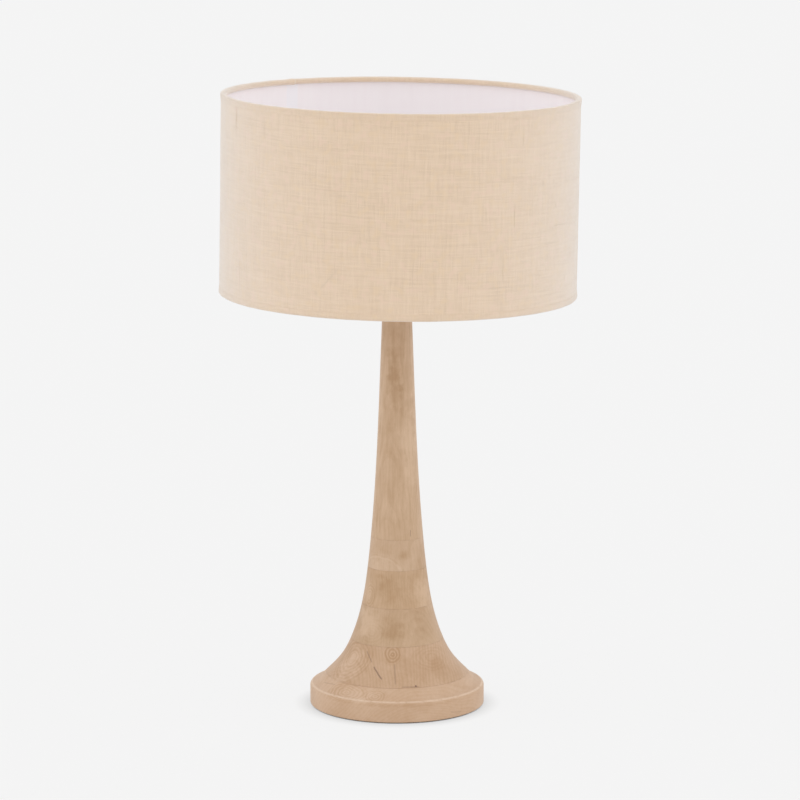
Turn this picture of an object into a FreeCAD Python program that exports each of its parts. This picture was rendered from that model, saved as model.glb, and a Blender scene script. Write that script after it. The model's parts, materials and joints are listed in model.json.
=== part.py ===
# Column table lamp: a turned wood column glued up from blocks on a round foot,
# with a drum shade of woven cloth that hangs on a gimbal fitter round the lampholder.
# Millimetres, +Z up. The origin is the centre of the felt's underside, on the table.
import FreeCAD, Part
import math
import os

from FreeCAD import Vector

# ---------------------------------------------------------------- driving dimensions
# Felt and foot board
felt_thickness = 1.0
felt_inset = 2.5              # the felt ends this far inside the foot's side
foot_radius = 86.5
foot_arris = 1.2              # rounded lower edge of the foot
ridge_height = 20.6           # from the foot's underside to the top of its upright side
ridge_round = 3.0
ridge_slope = 25.0            # degrees, the top face's rise just inside the ridge
shoulder_height = 23.3        # from the foot's underside
shoulder_radius = 78.8

# Wood blocks, glued face to face: thickness, and the radius at the top face.
# Where the flare needs it, the radius half way up a block is given too.
foot_board_thickness = 30.6
foot_board_top_radius = 70.6
flare_block_1_thickness = 35.0
flare_block_1_middle_radius = 55.0
flare_block_1_top_radius = 45.8
flare_block_2_thickness = 35.7
flare_block_2_top_radius = 34.9
flare_block_3_thickness = 36.9
flare_block_3_top_radius = 29.2
flare_block_4_thickness = 30.3
flare_block_4_top_radius = 26.1
post_length = 245.5
post_middle_radius = 18.55
post_top_radius = 13.8

# Threaded tube through the column, and what clamps it under the foot
tube_radius = 5.0
tube_bore_radius = 3.75
tube_clearance = 0.3          # in the wood
thread_clearance = 0.05       # in a nut or a cap, where the threads mesh
tube_tail = 1.5               # tube below the nut
counterbore_radius = 15.0
counterbore_depth = 15.0
washer_radius = 13.0
washer_thickness = 1.5
washer_hole_clearance = 0.25
lock_washer_radius = 8.5
lock_washer_thickness = 1.5
nut_across_flats = 14.0
nut_thickness = 4.0

# Cord gland at the back of the foot, and the channel behind it
gland_height = 9.0            # axis above the foot's underside
gland_bore_radius = 3.25
gland_body_radius = 6.0
gland_body_length = 12.0
gland_flange_radius = 7.5
gland_flange_thickness = 1.5
gland_fit = 0.05
gland_seat_depth = 0.5        # flat cut into the round side, under the flange
channel_radius = 4.0

# Brass cap on the column
vase_cap_thickness = 2.5
vase_cap_overhang = 1.4
vase_cap_round = 1.0

# Lampholder for a 27 mm screw cap
holder_neck_radius = 8.5
holder_neck_height = 2.5
holder_cap_radius = 20.5
holder_cap_height = 19.5
holder_cap_round = 5.5
holder_floor = 7.0            # neck and floor under the cap's hollow
holder_cavity_radius = 15.5
spigot_radius = 17.2
spigot_height = 6.0
spigot_clearance = 0.3
insert_flange_thickness = 2.0
insert_body_depth = 9.0
insert_fit = 0.3
skirt_radius = 19.5
skirt_height = 29.0
skirt_bore_radius = 15.0
shell_bore_radius = 13.4
shell_wall = 0.5
shell_height = 19.0
contact_radius = 3.5
contact_height = 2.0
contact_stem_radius = 1.5
contact_stem_length = 6.0
contact_clearance = 3.0       # from the contact to the screw shell's floor
terminal_width = 6.0
terminal_height = 8.0
terminal_pocket_depth = 4.0
terminal_offset = 9.0
terminal_screw_radius = 1.2
terminal_screw_head_radius = 2.0
terminal_screw_head_height = 1.6
terminal_screw_fit = 0.05

# Push bar that switches the lamp, through the lampholder's cap
bar_radius = 2.5
bar_carrier_radius = 3.5
bar_carrier_drop = 1.0        # clear of the hollow's floor
bar_stroke = 6.0
bar_stop_clearance = 0.7
bar_end_flush = 3.0           # what the pushed-in end still stands out
bar_hole_clearance = 0.3

# Rings that clamp the shade's fitter on the skirt
shade_ring_radius = 26.0
shade_ring_round = 0.8
lower_ring_lift = 10.2        # above the skirt's foot
lower_ring_thickness = 3.5
upper_ring_thickness = 4.5
upper_ring_gap = 0.2

# Fitter ring and gimbal
shade_offset = 1.5            # the ring hangs off centre by this much, towards +X
fitter_clearance = 0.3        # between the off-centre ring and the skirt
fitter_thickness = 2.0
ear_clearance = 0.5
ear_thickness = 2.5
ear_width = 8.0
ear_height = 8.0
ear_overlap = 0.5             # plate that runs in under the ears
ear_gap = 2.0
gimbal_wall = 2.5
gimbal_height = 8.0
pin_radius = 1.5
pin_fit = 0.02
pin_running_clearance = 0.08
pin_head_radius = 3.0
pin_head_thickness = 1.2

# Drum shade, measured square to its own leaning axis
shade_lean = 0.9              # degrees, top towards +X
shade_radius = 175.0          # outside of the cloth
shade_height = 195.0
shade_recess = 40.7           # gimbal pivot above the shade's lower edge
cloth_thickness = 1.0
lining_thickness = 0.6
wire_radius = 1.75
wire_gap = 0.2
hem_thickness = 0.8
hem_height = 6.3
hem_corner = 1.4
glue_gap = 0.02
arm_radius = 1.6
arm_count = 3
arm_level_length = 11.0       # straight stretch before the arm turns down
arm_bend_radius = 15.0
arm_notch_clearance = 0.4
seam_angle = 128.9            # degrees from +X, where the lining overlaps
seam_width = 14.0
seam_thickness = 0.3
seam_gap = 0.15

# Bulb
bulb_length = 106.0
globe_radius = 30.0
bulb_neck_radius = 12.4
bulb_neck_curve = 45.0
glass_thickness = 0.8
bulb_cap_radius = 13.1
bulb_cap_height = 21.0
bulb_cap_wall = 0.5
bulb_tip_radius = 3.6
bulb_tip_height = 1.5
bulb_insulator_height = 4.0
bulb_insulator_radius = 11.0
glass_in_cap = 12.0           # neck that is cemented inside the cap
cement_gap = 0.15
stem_radius = 4.0
stem_height = 38.0
stem_foot_thickness = 2.0
filament_count = 4
filament_radius = 0.9
filament_length = 34.0
filament_ring_radius = 8.0
support_disc_radius = 10.0
support_disc_thickness = 1.0
support_wire_radius = 1.0

cut_over = 1.0                # how far a cutting shape runs past what it cuts

# ---------------------------------------------------------------- heights that follow
# Name, thickness, radius half way up or None, radius at the top face
column_blocks = [
    ("foot_board", foot_board_thickness, None, foot_board_top_radius),
    ("flare_block_1", flare_block_1_thickness, flare_block_1_middle_radius, flare_block_1_top_radius),
    ("flare_block_2", flare_block_2_thickness, None, flare_block_2_top_radius),
    ("flare_block_3", flare_block_3_thickness, None, flare_block_3_top_radius),
    ("flare_block_4", flare_block_4_thickness, None, flare_block_4_top_radius),
    ("column_post", post_length, post_middle_radius, post_top_radius),
]
foot_bottom = felt_thickness
column_top = foot_bottom + sum(thickness for name, thickness, middle, top in column_blocks)
counterbore_top = foot_bottom + counterbore_depth
washer_low = counterbore_top - washer_thickness
lock_washer_low = washer_low - lock_washer_thickness
nut_low = lock_washer_low - nut_thickness
tube_low = nut_low - tube_tail
holder_low = column_top + vase_cap_thickness
cavity_low = holder_low + holder_floor
cap_rim = holder_low + holder_cap_height
spigot_top = cap_rim + spigot_height
insert_top = spigot_top + insert_flange_thickness
contact_top = insert_top + contact_height
skirt_top = cap_rim + skirt_height
lower_ring_low = cap_rim + lower_ring_lift
fitter_low = lower_ring_low + lower_ring_thickness
pivot_height = fitter_low + fitter_thickness / 2
upper_ring_low = fitter_low + fitter_thickness + upper_ring_gap
bar_height = cavity_low + bar_carrier_drop + bar_carrier_radius
ear_inner = shade_ring_radius + shade_offset + ear_clearance
gimbal_inner = ear_inner + ear_thickness + ear_gap
gimbal_outer = gimbal_inner + gimbal_wall

# The shade's own frame: its origin is the gimbal pivot, and its Z is its leaning axis.
drum_low = -shade_recess
drum_high = shade_height - shade_recess
lining_outer = shade_radius - cloth_thickness - glue_gap
lining_inner = lining_outer - lining_thickness
wire_ring_radius = lining_inner - wire_gap - wire_radius
roll_inner = wire_radius + wire_gap
roll_outer = roll_inner + hem_thickness
seam_outer = lining_inner - seam_gap

bulb_top = contact_top + bulb_length
globe_centre = bulb_top - globe_radius
bulb_cap_low = contact_top + bulb_tip_height + bulb_insulator_height
bulb_cap_top = bulb_cap_low + bulb_cap_height
glass_low = bulb_cap_top - glass_in_cap

UP = Vector(0, 0, 1)
BACK = Vector(0, 1, 0)
CENTRE = Vector(0, 0, 0)


# ---------------------------------------------------------------- shared shapes
def at(radius, height):
    """A point of an outline that is turned about the Z axis."""
    return Vector(radius, 0, height)


def line(start, end):
    return Part.LineSegment(start, end).toShape()


def arc(centre, radius, start_degrees, end_degrees):
    """An arc in the outline's plane, as an edge, through its middle point."""
    angles = [start_degrees, (start_degrees + end_degrees) / 2, end_degrees]
    points = []
    for angle in angles:
        turn = math.radians(angle)
        points.append(centre + Vector(radius * math.cos(turn), 0, radius * math.sin(turn)))
    return Part.Arc(points[0], points[1], points[2]).toShape()


def first_point(edge):
    return edge.valueAt(edge.FirstParameter)


def last_point(edge):
    return edge.valueAt(edge.LastParameter)


def joined(pieces):
    """Edges and single points in order, joined by straight lines into a closed loop."""
    edges = []
    ends = [(first_point(p), last_point(p)) if isinstance(p, Part.Edge) else (p, p) for p in pieces]
    for index, piece in enumerate(pieces):
        if isinstance(piece, Part.Edge):
            edges.append(piece)
        leave = ends[index][1]
        arrive = ends[(index + 1) % len(pieces)][0]
        if leave.distanceToPoint(arrive) > 1e-6:
            edges.append(line(leave, arrive))
    return Part.Wire(edges)


def turned(pieces):
    """The solid that an outline sweeps when it is turned about the Z axis."""
    return Part.Face(joined(pieces)).revolve(CENTRE, UP, 360)


def cylinder(radius, low, high):
    return Part.makeCylinder(radius, high - low, at(0, low))


def pipe(outer, inner, low, high):
    return cylinder(outer, low, high).cut(cylinder(inner, low - cut_over, high + cut_over))


def rod(radius, start, direction, length):
    return Part.makeCylinder(radius, length, start, direction)


def block(width, depth, low, high, centre_y):
    corner = Vector(-width / 2, centre_y - depth / 2, low)
    return Part.makeBox(width, depth, high - low, corner)


def around(shape, count):
    """Copies of a shape, evenly spaced round the Z axis."""
    copies = []
    for index in range(count):
        copies.append(shape.rotated(CENTRE, UP, index * 360.0 / count))
    return copies


def on_fitter(shape):
    """From the fitter's own frame to the lamp's."""
    return shape.translated(Vector(shade_offset, 0, pivot_height))


def on_shade(shape):
    """From the shade's own frame to the lamp's: leaned on the pins, then put in place."""
    return on_fitter(shape.rotated(CENTRE, BACK, shade_lean))


# ---------------------------------------------------------------- foot and column
def felt_pad():
    return cylinder(foot_radius - felt_inset, 0, felt_thickness)


def column_curve(start):
    """The hollow flare: a smooth curve through the radius at each glue joint."""
    points = [start, at(shoulder_radius, foot_bottom + shoulder_height)]
    height = foot_bottom
    for name, thickness, middle_radius, top_radius in column_blocks:
        if middle_radius:
            points.append(at(middle_radius, height + thickness / 2))
        height += thickness
        points.append(at(top_radius, height))
    curve = Part.BSplineCurve()
    curve.interpolate(Points=points)
    return curve.toShape()


def column_solid():
    """Foot and column as they come off the lathe, before they are bored."""
    arris_centre = at(foot_radius - foot_arris, foot_bottom + foot_arris)
    ridge_centre = at(foot_radius - ridge_round, foot_bottom + ridge_height - ridge_round)
    ridge = arc(ridge_centre, ridge_round, 0, 90 - ridge_slope)
    flare = column_curve(last_point(ridge))
    return turned([
        at(0, foot_bottom),
        arc(arris_centre, foot_arris, -90, 0),
        ridge,
        flare,
        at(0, column_top),
    ])


def column_layers():
    """The turned column cut at its glue joints, each block bored for the tube."""
    whole = column_solid()
    layers = {}
    low = foot_bottom
    for name, thickness, middle_radius, top_radius in column_blocks:
        layer = whole.common(cylinder(foot_radius + cut_over, low, low + thickness))
        bore = cylinder(tube_radius + tube_clearance, low - cut_over, low + thickness + cut_over)
        layers[name] = layer.cut(bore)
        low += thickness
    return layers


def foot_board(turned_board):
    """The lowest board, with the nut's counterbore and the way for the cord."""
    axis = at(0, foot_bottom + gland_height)
    seat = foot_radius - gland_seat_depth
    board = turned_board.cut(cylinder(counterbore_radius, foot_bottom - cut_over, counterbore_top))
    board = board.cut(rod(channel_radius, axis, BACK, seat))
    socket_start = axis + BACK * (seat - gland_body_length)
    board = board.cut(rod(gland_body_radius + gland_fit, socket_start, BACK, gland_body_length + cut_over))
    face_start = axis + BACK * seat
    return board.cut(rod(gland_flange_radius + gland_fit, face_start, BACK, gland_flange_thickness))


def cord_gland():
    """Plastic bush with a flange, pushed into the back of the foot."""
    axis = at(0, foot_bottom + gland_height)
    seat = foot_radius - gland_seat_depth
    start = axis + BACK * (seat - gland_body_length)
    body = rod(gland_body_radius, start, BACK, gland_body_length)
    flange = rod(gland_flange_radius, axis + BACK * seat, BACK, gland_flange_thickness)
    through = gland_body_length + gland_flange_thickness + 2 * cut_over
    bore = rod(gland_bore_radius, start - BACK * cut_over, BACK, through)
    return body.fuse(flange).removeSplitter().cut(bore)


# ---------------------------------------------------------------- tube and its fixings
def threaded_tube():
    return pipe(tube_radius, tube_bore_radius, tube_low, cavity_low)


def bottom_washer():
    hole = tube_radius + washer_hole_clearance
    return pipe(washer_radius, hole, washer_low, counterbore_top)


def lock_washer():
    hole = tube_radius + washer_hole_clearance
    return pipe(lock_washer_radius, hole, lock_washer_low, washer_low)


def bottom_nut():
    corner_radius = nut_across_flats / 2 / math.cos(math.radians(30))
    corners = []
    for index in range(6):
        turn = math.radians(60 * index)
        corners.append(Vector(corner_radius * math.cos(turn), corner_radius * math.sin(turn), nut_low))
    hexagon = Part.Face(Part.makePolygon(corners + corners[:1]))
    prism = hexagon.extrude(UP * nut_thickness)
    bore = cylinder(tube_radius + thread_clearance, nut_low - cut_over, lock_washer_low + cut_over)
    return prism.cut(bore)


def vase_cap():
    """Brass disc that covers the column's top, with a rounded upper edge."""
    radius = post_top_radius + vase_cap_overhang
    hole = tube_radius + tube_clearance
    edge_centre = at(radius - vase_cap_round, holder_low - vase_cap_round)
    return turned([
        at(hole, column_top),
        at(radius, column_top),
        arc(edge_centre, vase_cap_round, 0, 90),
        at(hole, holder_low),
    ])


# ---------------------------------------------------------------- lampholder
def holder_cap():
    """Cup that screws on the tube; its side is holed for the push bar."""
    corner_centre = at(holder_cap_radius - holder_cap_round, holder_low + holder_neck_height + holder_cap_round)
    cup = turned([
        at(tube_radius + thread_clearance, holder_low),
        at(holder_neck_radius, holder_low),
        at(holder_neck_radius, holder_low + holder_neck_height),
        arc(corner_centre, holder_cap_round, -90, 0),
        at(holder_cap_radius, cap_rim),
        at(spigot_radius, cap_rim),
        at(spigot_radius, spigot_top),
        at(holder_cavity_radius, spigot_top),
        at(holder_cavity_radius, cavity_low),
        at(tube_radius + thread_clearance, cavity_low),
    ])
    reach = holder_cap_radius + cut_over
    hole = rod(bar_radius + bar_hole_clearance, Vector(-reach, 0, bar_height), Vector(1, 0, 0), 2 * reach)
    return cup.cut(hole)


def terminal_places():
    """The two terminals' Y places, one each side of the push bar."""
    return [-terminal_offset, terminal_offset]


def terminal_low():
    return spigot_top - insert_body_depth + terminal_pocket_depth - terminal_height


def holder_insert():
    """Insulating block that carries the screw shell, the contact and the terminals."""
    bottom = spigot_top - insert_body_depth
    body = turned([
        at(0, bottom),
        at(holder_cavity_radius - insert_fit, bottom),
        at(holder_cavity_radius - insert_fit, spigot_top),
        at(spigot_radius, spigot_top),
        at(spigot_radius, insert_top),
        at(0, insert_top),
    ])
    stem = contact_stem_radius + glue_gap
    body = body.cut(cylinder(stem, insert_top - contact_stem_length, insert_top + cut_over))
    for place in terminal_places():
        pocket = block(terminal_width, terminal_width, bottom - cut_over, bottom + terminal_pocket_depth, place)
        body = body.cut(pocket)
    return body


def terminal_blocks():
    """Two brass blocks in the insert's pockets, each drilled for its screw."""
    low = terminal_low()
    screw_height = low + (terminal_height - terminal_pocket_depth) / 2
    blocks = []
    for place in terminal_places():
        outward = BACK * math.copysign(1, place)
        brass = block(terminal_width, terminal_width, low, low + terminal_height, place)
        hole_radius = terminal_screw_radius + terminal_screw_fit
        hole = rod(hole_radius, Vector(0, place, screw_height), outward, terminal_width / 2 + cut_over)
        blocks.append(brass.cut(hole))
    return Part.makeCompound(blocks)


def terminal_screws():
    """One cheese-headed screw in the outer face of each terminal."""
    screw_height = terminal_low() + (terminal_height - terminal_pocket_depth) / 2
    screws = []
    for place in terminal_places():
        outward = BACK * math.copysign(1, place)
        shank = rod(terminal_screw_radius, Vector(0, place, screw_height), outward, terminal_width / 2)
        face = Vector(0, place, screw_height) + outward * (terminal_width / 2)
        head = rod(terminal_screw_head_radius, face, outward, terminal_screw_head_height)
        screws.append(shank.fuse(head).removeSplitter())
    return Part.makeCompound(screws)


def screw_shell():
    """Brass sleeve that takes the bulb's thread, with a flat floor round the contact."""
    outer = shell_bore_radius + shell_wall
    floor_hole = contact_radius + contact_clearance
    return turned([
        at(floor_hole, insert_top),
        at(outer, insert_top),
        at(outer, insert_top + shell_height),
        at(shell_bore_radius, insert_top + shell_height),
        at(shell_bore_radius, insert_top + shell_wall),
        at(floor_hole, insert_top + shell_wall),
    ])


def centre_contact():
    pad = cylinder(contact_radius, insert_top, contact_top)
    stem = cylinder(contact_stem_radius, insert_top - contact_stem_length, insert_top)
    return pad.fuse(stem).removeSplitter()


def holder_skirt():
    """Outer sleeve: it clamps the insert on the cap's spigot and takes the shade rings."""
    lower_bore = spigot_radius + spigot_clearance
    return turned([
        at(lower_bore, cap_rim),
        at(skirt_radius, cap_rim),
        at(skirt_radius, skirt_top),
        at(skirt_bore_radius, skirt_top),
        at(skirt_bore_radius, insert_top),
        at(lower_bore, insert_top),
    ])


def shade_ring(low, thickness):
    """One of the two rings that screw on the skirt."""
    hole = skirt_radius + thread_clearance
    high = low + thickness
    centre_radius = shade_ring_radius - shade_ring_round
    return turned([
        at(hole, low),
        arc(at(centre_radius, low + shade_ring_round), shade_ring_round, -90, 0),
        arc(at(centre_radius, high - shade_ring_round), shade_ring_round, 0, 90),
        at(hole, high),
    ])


def switch_bar():
    """Push bar: a thick carrier inside the cap, and an end that stands out on each side."""
    stop = holder_cavity_radius - bar_stop_clearance
    carrier_start = -stop + bar_stroke
    bar_start = -holder_cap_radius - bar_end_flush
    bar_end = holder_cap_radius + bar_end_flush + bar_stroke
    along = Vector(1, 0, 0)
    carrier = rod(bar_carrier_radius, Vector(carrier_start, 0, bar_height), along, stop - carrier_start)
    bar = rod(bar_radius, Vector(bar_start, 0, bar_height), along, bar_end - bar_start)
    return bar.fuse(carrier).removeSplitter()


# ---------------------------------------------------------------- fitter and gimbal
def fitter_ring():
    """Flat ring clamped on the lampholder, with two upright ears for the gimbal pins."""
    hole = skirt_radius + shade_offset + fitter_clearance
    ring = pipe(ear_inner + ear_overlap, hole, -fitter_thickness / 2, fitter_thickness / 2)
    for side in (-1, 1):
        place = side * (ear_inner + ear_thickness / 2)
        ring = ring.fuse(block(ear_width, ear_thickness, -ear_height / 2, ear_height / 2, place))
    ring = ring.removeSplitter()
    reach = ear_inner + ear_thickness + cut_over
    for side in (-1, 1):
        start = BACK * (side * (ear_inner - cut_over))
        ring = ring.cut(rod(pin_radius + pin_running_clearance, start, BACK * side, reach - ear_inner + cut_over))
    return ring


def gimbal_ring():
    ring = pipe(gimbal_outer, gimbal_inner, -gimbal_height / 2, gimbal_height / 2)
    reach = gimbal_outer + cut_over
    return ring.cut(rod(pin_radius + pin_fit, BACK * -reach, BACK, 2 * reach))


def gimbal_pins():
    """Two rivets through the gimbal ring into the fitter's ears."""
    pins = []
    for side in (-1, 1):
        outward = BACK * side
        shank = rod(pin_radius, outward * ear_inner, outward, gimbal_outer - ear_inner)
        head = rod(pin_head_radius, outward * gimbal_outer, outward, pin_head_thickness)
        pins.append(shank.fuse(head).removeSplitter())
    return Part.makeCompound(pins)


# ---------------------------------------------------------------- drum shade
def wire_centre(top):
    """Height of a wire ring's centre, in the shade's frame."""
    return drum_high - roll_outer if top else drum_low + roll_outer


def wire_ring(top, radius=wire_radius):
    return Part.makeTorus(wire_ring_radius, radius, at(0, wire_centre(top)))


def arm_path():
    """Level from the gimbal ring, then a bend, then straight down to the lower wire ring."""
    start = at(gimbal_outer - gimbal_wall / 2, 0)
    corner = at(gimbal_outer + arm_level_length, 0)
    end = at(wire_ring_radius, wire_centre(False))
    slope = (end - corner).normalize()
    turn = math.acos(slope.x)
    setback = arm_bend_radius * math.tan(turn / 2)
    bend_start = corner - Vector(setback, 0, 0)
    bend_end = corner + slope * setback
    inward = Vector(math.sin(turn / 2), 0, math.cos(turn / 2))
    middle = corner - inward * (arm_bend_radius / math.cos(turn / 2) - arm_bend_radius)
    bend = Part.Arc(bend_start, middle, bend_end).toShape()
    return Part.Wire([line(start, bend_start), bend, line(bend_end, end)])


def arm_tube(radius):
    path = arm_path()
    section = Part.Wire(Part.makeCircle(radius, first_point(path.Edges[0]), Vector(1, 0, 0)))
    return path.makePipeShell([section], True, True)


def spider_arms():
    """Three wires, coped at both ends and welded to the gimbal ring and the wire ring."""
    arm = arm_tube(arm_radius)
    hub = cylinder(gimbal_outer + glue_gap, -gimbal_height, gimbal_height)
    arm = arm.cut(hub).cut(wire_ring(False, wire_radius + glue_gap))
    return around(arm, arm_count)


def hem(top):
    """Cloth binding: it covers the drum's edge and rolls round the wire ring inside."""
    centre = at(wire_ring_radius, wire_centre(True))
    outer = shade_radius + hem_thickness
    inside_wall = lining_inner - glue_gap
    slot_outer = shade_radius + glue_gap
    corner = at(outer - hem_corner, drum_high - hem_corner)
    band = turned([
        at(outer, drum_high - hem_height),
        arc(corner, hem_corner, 0, 90),
        arc(centre, roll_outer, 90, 270),
        at(inside_wall, centre.z - roll_outer),
        at(inside_wall, centre.z - roll_inner),
        arc(centre, roll_inner, 270, 90),
        at(slot_outer, centre.z + roll_inner),
        at(slot_outer, drum_high - hem_height),
    ])
    if top:
        return band
    flipped = band.mirror(at(0, (drum_low + drum_high) / 2), UP)
    for notch in around(arm_tube(arm_radius + arm_notch_clearance), arm_count):
        flipped = flipped.cut(notch)
    return flipped


def drum_wall(outer, thickness):
    edge = hem_thickness + glue_gap
    return pipe(outer, outer - thickness, drum_low + edge, drum_high - edge)


def seam_tape():
    """Strip that covers the lining's overlap, on the inside of the drum at the back."""
    margin = 2 * roll_outer + glue_gap
    low = drum_low + margin
    high = drum_high - margin
    strip = pipe(seam_outer, seam_outer - seam_thickness, low, high)
    keep = Part.makeBox(cut_over + seam_outer, seam_width, high - low, Vector(0, -seam_width / 2, low))
    return strip.common(keep).rotated(CENTRE, UP, seam_angle)


# ---------------------------------------------------------------- bulb
def bulb_tip():
    """Round contact at the bulb's foot; it rests on the lampholder's contact."""
    return cylinder(bulb_tip_radius, contact_top, contact_top + bulb_tip_height)


def bulb_insulator():
    low = contact_top + bulb_tip_height
    return turned([
        at(0, low),
        at(bulb_tip_radius, low),
        at(bulb_insulator_radius, bulb_cap_low),
        at(0, bulb_cap_low),
    ])


def bulb_screw_cap():
    """Thin metal cup with a flat floor."""
    inner = bulb_cap_radius - bulb_cap_wall
    return turned([
        at(0, bulb_cap_low),
        at(bulb_insulator_radius, bulb_cap_low),
        at(bulb_cap_radius, bulb_cap_low + bulb_cap_radius - bulb_insulator_radius),
        at(bulb_cap_radius, bulb_cap_top),
        at(inner, bulb_cap_top),
        at(inner, bulb_cap_low + bulb_cap_radius - bulb_insulator_radius),
        at(bulb_insulator_radius - bulb_cap_wall, bulb_cap_low + bulb_cap_wall),
        at(0, bulb_cap_low + bulb_cap_wall),
    ])


def globe_outline(inset):
    """Neck and globe as two arcs that meet smoothly, moved inwards by the inset."""
    across = bulb_neck_radius + bulb_neck_curve
    reach = globe_radius + bulb_neck_curve
    drop = math.sqrt(reach ** 2 - across ** 2)
    turn = math.degrees(math.acos(across / reach))
    neck = arc(at(across, globe_centre - drop), bulb_neck_curve + inset, 180, 180 - turn)
    globe = arc(at(0, globe_centre), globe_radius - inset, -turn, 90)
    return [neck, globe]


def bulb_glass():
    inner = list(reversed(globe_outline(glass_thickness)))
    outer = turned([at(0, glass_low), at(bulb_neck_radius, glass_low)] + globe_outline(0))
    inner_radius = bulb_neck_radius - glass_thickness
    outline = [at(0, glass_low - cut_over), at(inner_radius, glass_low - cut_over)] + list(reversed(inner))
    return outer.cut(turned(outline))


def bulb_stem():
    """Glass foot in the neck, with a post that carries the filaments."""
    foot_radius_inside = bulb_neck_radius - glass_thickness - cement_gap
    foot = cylinder(foot_radius_inside, glass_low, glass_low + stem_foot_thickness)
    post = cylinder(stem_radius, glass_low, glass_low + stem_height)
    return foot.fuse(post).removeSplitter()


def filament_supports():
    """A wire up the middle, with a disc below and above the filaments."""
    low = glass_low + stem_height
    high = low + 2 * support_disc_thickness + filament_length
    lower = cylinder(support_disc_radius, low, low + support_disc_thickness)
    upper = cylinder(support_disc_radius, high - support_disc_thickness, high)
    wire = cylinder(support_wire_radius, low, high)
    return lower.fuse([upper, wire]).removeSplitter()


def filaments():
    low = glass_low + stem_height + support_disc_thickness
    stick = rod(filament_radius, at(filament_ring_radius, low), UP, filament_length)
    return Part.makeCompound(around(stick, filament_count))


# ---------------------------------------------------------------- all the pieces
def all_parts():
    parts = column_layers()
    parts["foot_board"] = foot_board(parts["foot_board"])
    parts["felt_pad"] = felt_pad()
    parts["cord_gland"] = cord_gland()
    parts["threaded_tube"] = threaded_tube()
    parts["bottom_washer"] = bottom_washer()
    parts["lock_washer"] = lock_washer()
    parts["bottom_nut"] = bottom_nut()
    parts["vase_cap"] = vase_cap()
    parts["holder_cap"] = holder_cap()
    parts["holder_insert"] = holder_insert()
    parts["terminal_blocks"] = terminal_blocks()
    parts["terminal_screws"] = terminal_screws()
    parts["screw_shell"] = screw_shell()
    parts["centre_contact"] = centre_contact()
    parts["holder_skirt"] = holder_skirt()
    parts["lower_shade_ring"] = shade_ring(lower_ring_low, lower_ring_thickness)
    parts["upper_shade_ring"] = shade_ring(upper_ring_low, upper_ring_thickness)
    parts["switch_bar"] = switch_bar()
    parts["fitter_ring"] = on_fitter(fitter_ring())
    parts["gimbal_ring"] = on_shade(gimbal_ring())
    parts["gimbal_pins"] = on_shade(gimbal_pins())
    parts["spider_arms"] = on_shade(Part.makeCompound(spider_arms()))
    parts["bottom_wire"] = on_shade(wire_ring(False))
    parts["top_wire"] = on_shade(wire_ring(True))
    parts["shade_cloth"] = on_shade(drum_wall(shade_radius, cloth_thickness))
    parts["shade_lining"] = on_shade(drum_wall(lining_outer, lining_thickness))
    parts["top_hem"] = on_shade(hem(True))
    parts["bottom_hem"] = on_shade(hem(False))
    parts["seam_tape"] = on_shade(seam_tape())
    parts["bulb_tip"] = bulb_tip()
    parts["bulb_insulator"] = bulb_insulator()
    parts["bulb_screw_cap"] = bulb_screw_cap()
    parts["bulb_glass"] = bulb_glass()
    parts["bulb_stem"] = bulb_stem()
    parts["filament_supports"] = filament_supports()
    parts["filaments"] = filaments()
    return parts


os.makedirs("parts", exist_ok=True)
for node, shape in all_parts().items():
    shape.exportStep(f"parts/{node}.step")
    print(node, "solids", len(shape.Solids), "valid", shape.isValid(), "volume", round(shape.Volume, 1))
print("overall height", round(pivot_height + drum_high, 1), "pivot", round(pivot_height, 2))
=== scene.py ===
# %% [markdown]
# # A column table lamp
# The lamp is a turned wood column on a round foot, glued up from six blocks, with a drum shade of
# slub cloth. Its joinery, lampholder and moving parts come ready made, as a fixed frame in metres:
# Z points up, and the photograph looks along +Y. This lesson adds what the eye and the hand meet:
# grain, glue lines, weave, rolled hems, threads, glass and felt. Nothing in the frame is moved.

# %% Load the frame
import json
import math

import bmesh
import bpy
import numpy as np
from mathutils import Matrix, Vector, noise


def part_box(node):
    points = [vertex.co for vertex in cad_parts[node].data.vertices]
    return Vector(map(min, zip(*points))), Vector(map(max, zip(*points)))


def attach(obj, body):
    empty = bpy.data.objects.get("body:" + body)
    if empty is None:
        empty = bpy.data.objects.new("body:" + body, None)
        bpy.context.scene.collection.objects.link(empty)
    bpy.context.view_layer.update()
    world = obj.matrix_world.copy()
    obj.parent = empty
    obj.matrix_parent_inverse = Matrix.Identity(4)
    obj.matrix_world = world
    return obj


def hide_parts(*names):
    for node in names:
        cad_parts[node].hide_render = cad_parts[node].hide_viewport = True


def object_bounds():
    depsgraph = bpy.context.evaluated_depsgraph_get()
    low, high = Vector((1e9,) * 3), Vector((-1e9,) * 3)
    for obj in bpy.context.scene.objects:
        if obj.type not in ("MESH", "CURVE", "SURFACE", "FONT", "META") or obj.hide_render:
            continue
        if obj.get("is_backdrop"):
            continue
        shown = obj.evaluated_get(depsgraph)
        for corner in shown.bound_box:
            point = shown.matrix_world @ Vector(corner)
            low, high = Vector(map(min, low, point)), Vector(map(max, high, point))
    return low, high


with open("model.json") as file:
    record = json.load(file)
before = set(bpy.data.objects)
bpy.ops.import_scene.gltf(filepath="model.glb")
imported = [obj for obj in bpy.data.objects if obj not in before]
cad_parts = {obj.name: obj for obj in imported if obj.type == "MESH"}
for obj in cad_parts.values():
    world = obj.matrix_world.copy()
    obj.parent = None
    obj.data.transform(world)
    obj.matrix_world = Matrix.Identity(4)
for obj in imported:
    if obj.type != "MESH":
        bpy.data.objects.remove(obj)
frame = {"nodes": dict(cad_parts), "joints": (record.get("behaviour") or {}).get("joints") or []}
cad_box = [list(corner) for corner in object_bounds()]
nodes = frame["nodes"]
MM = 0.001
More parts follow.
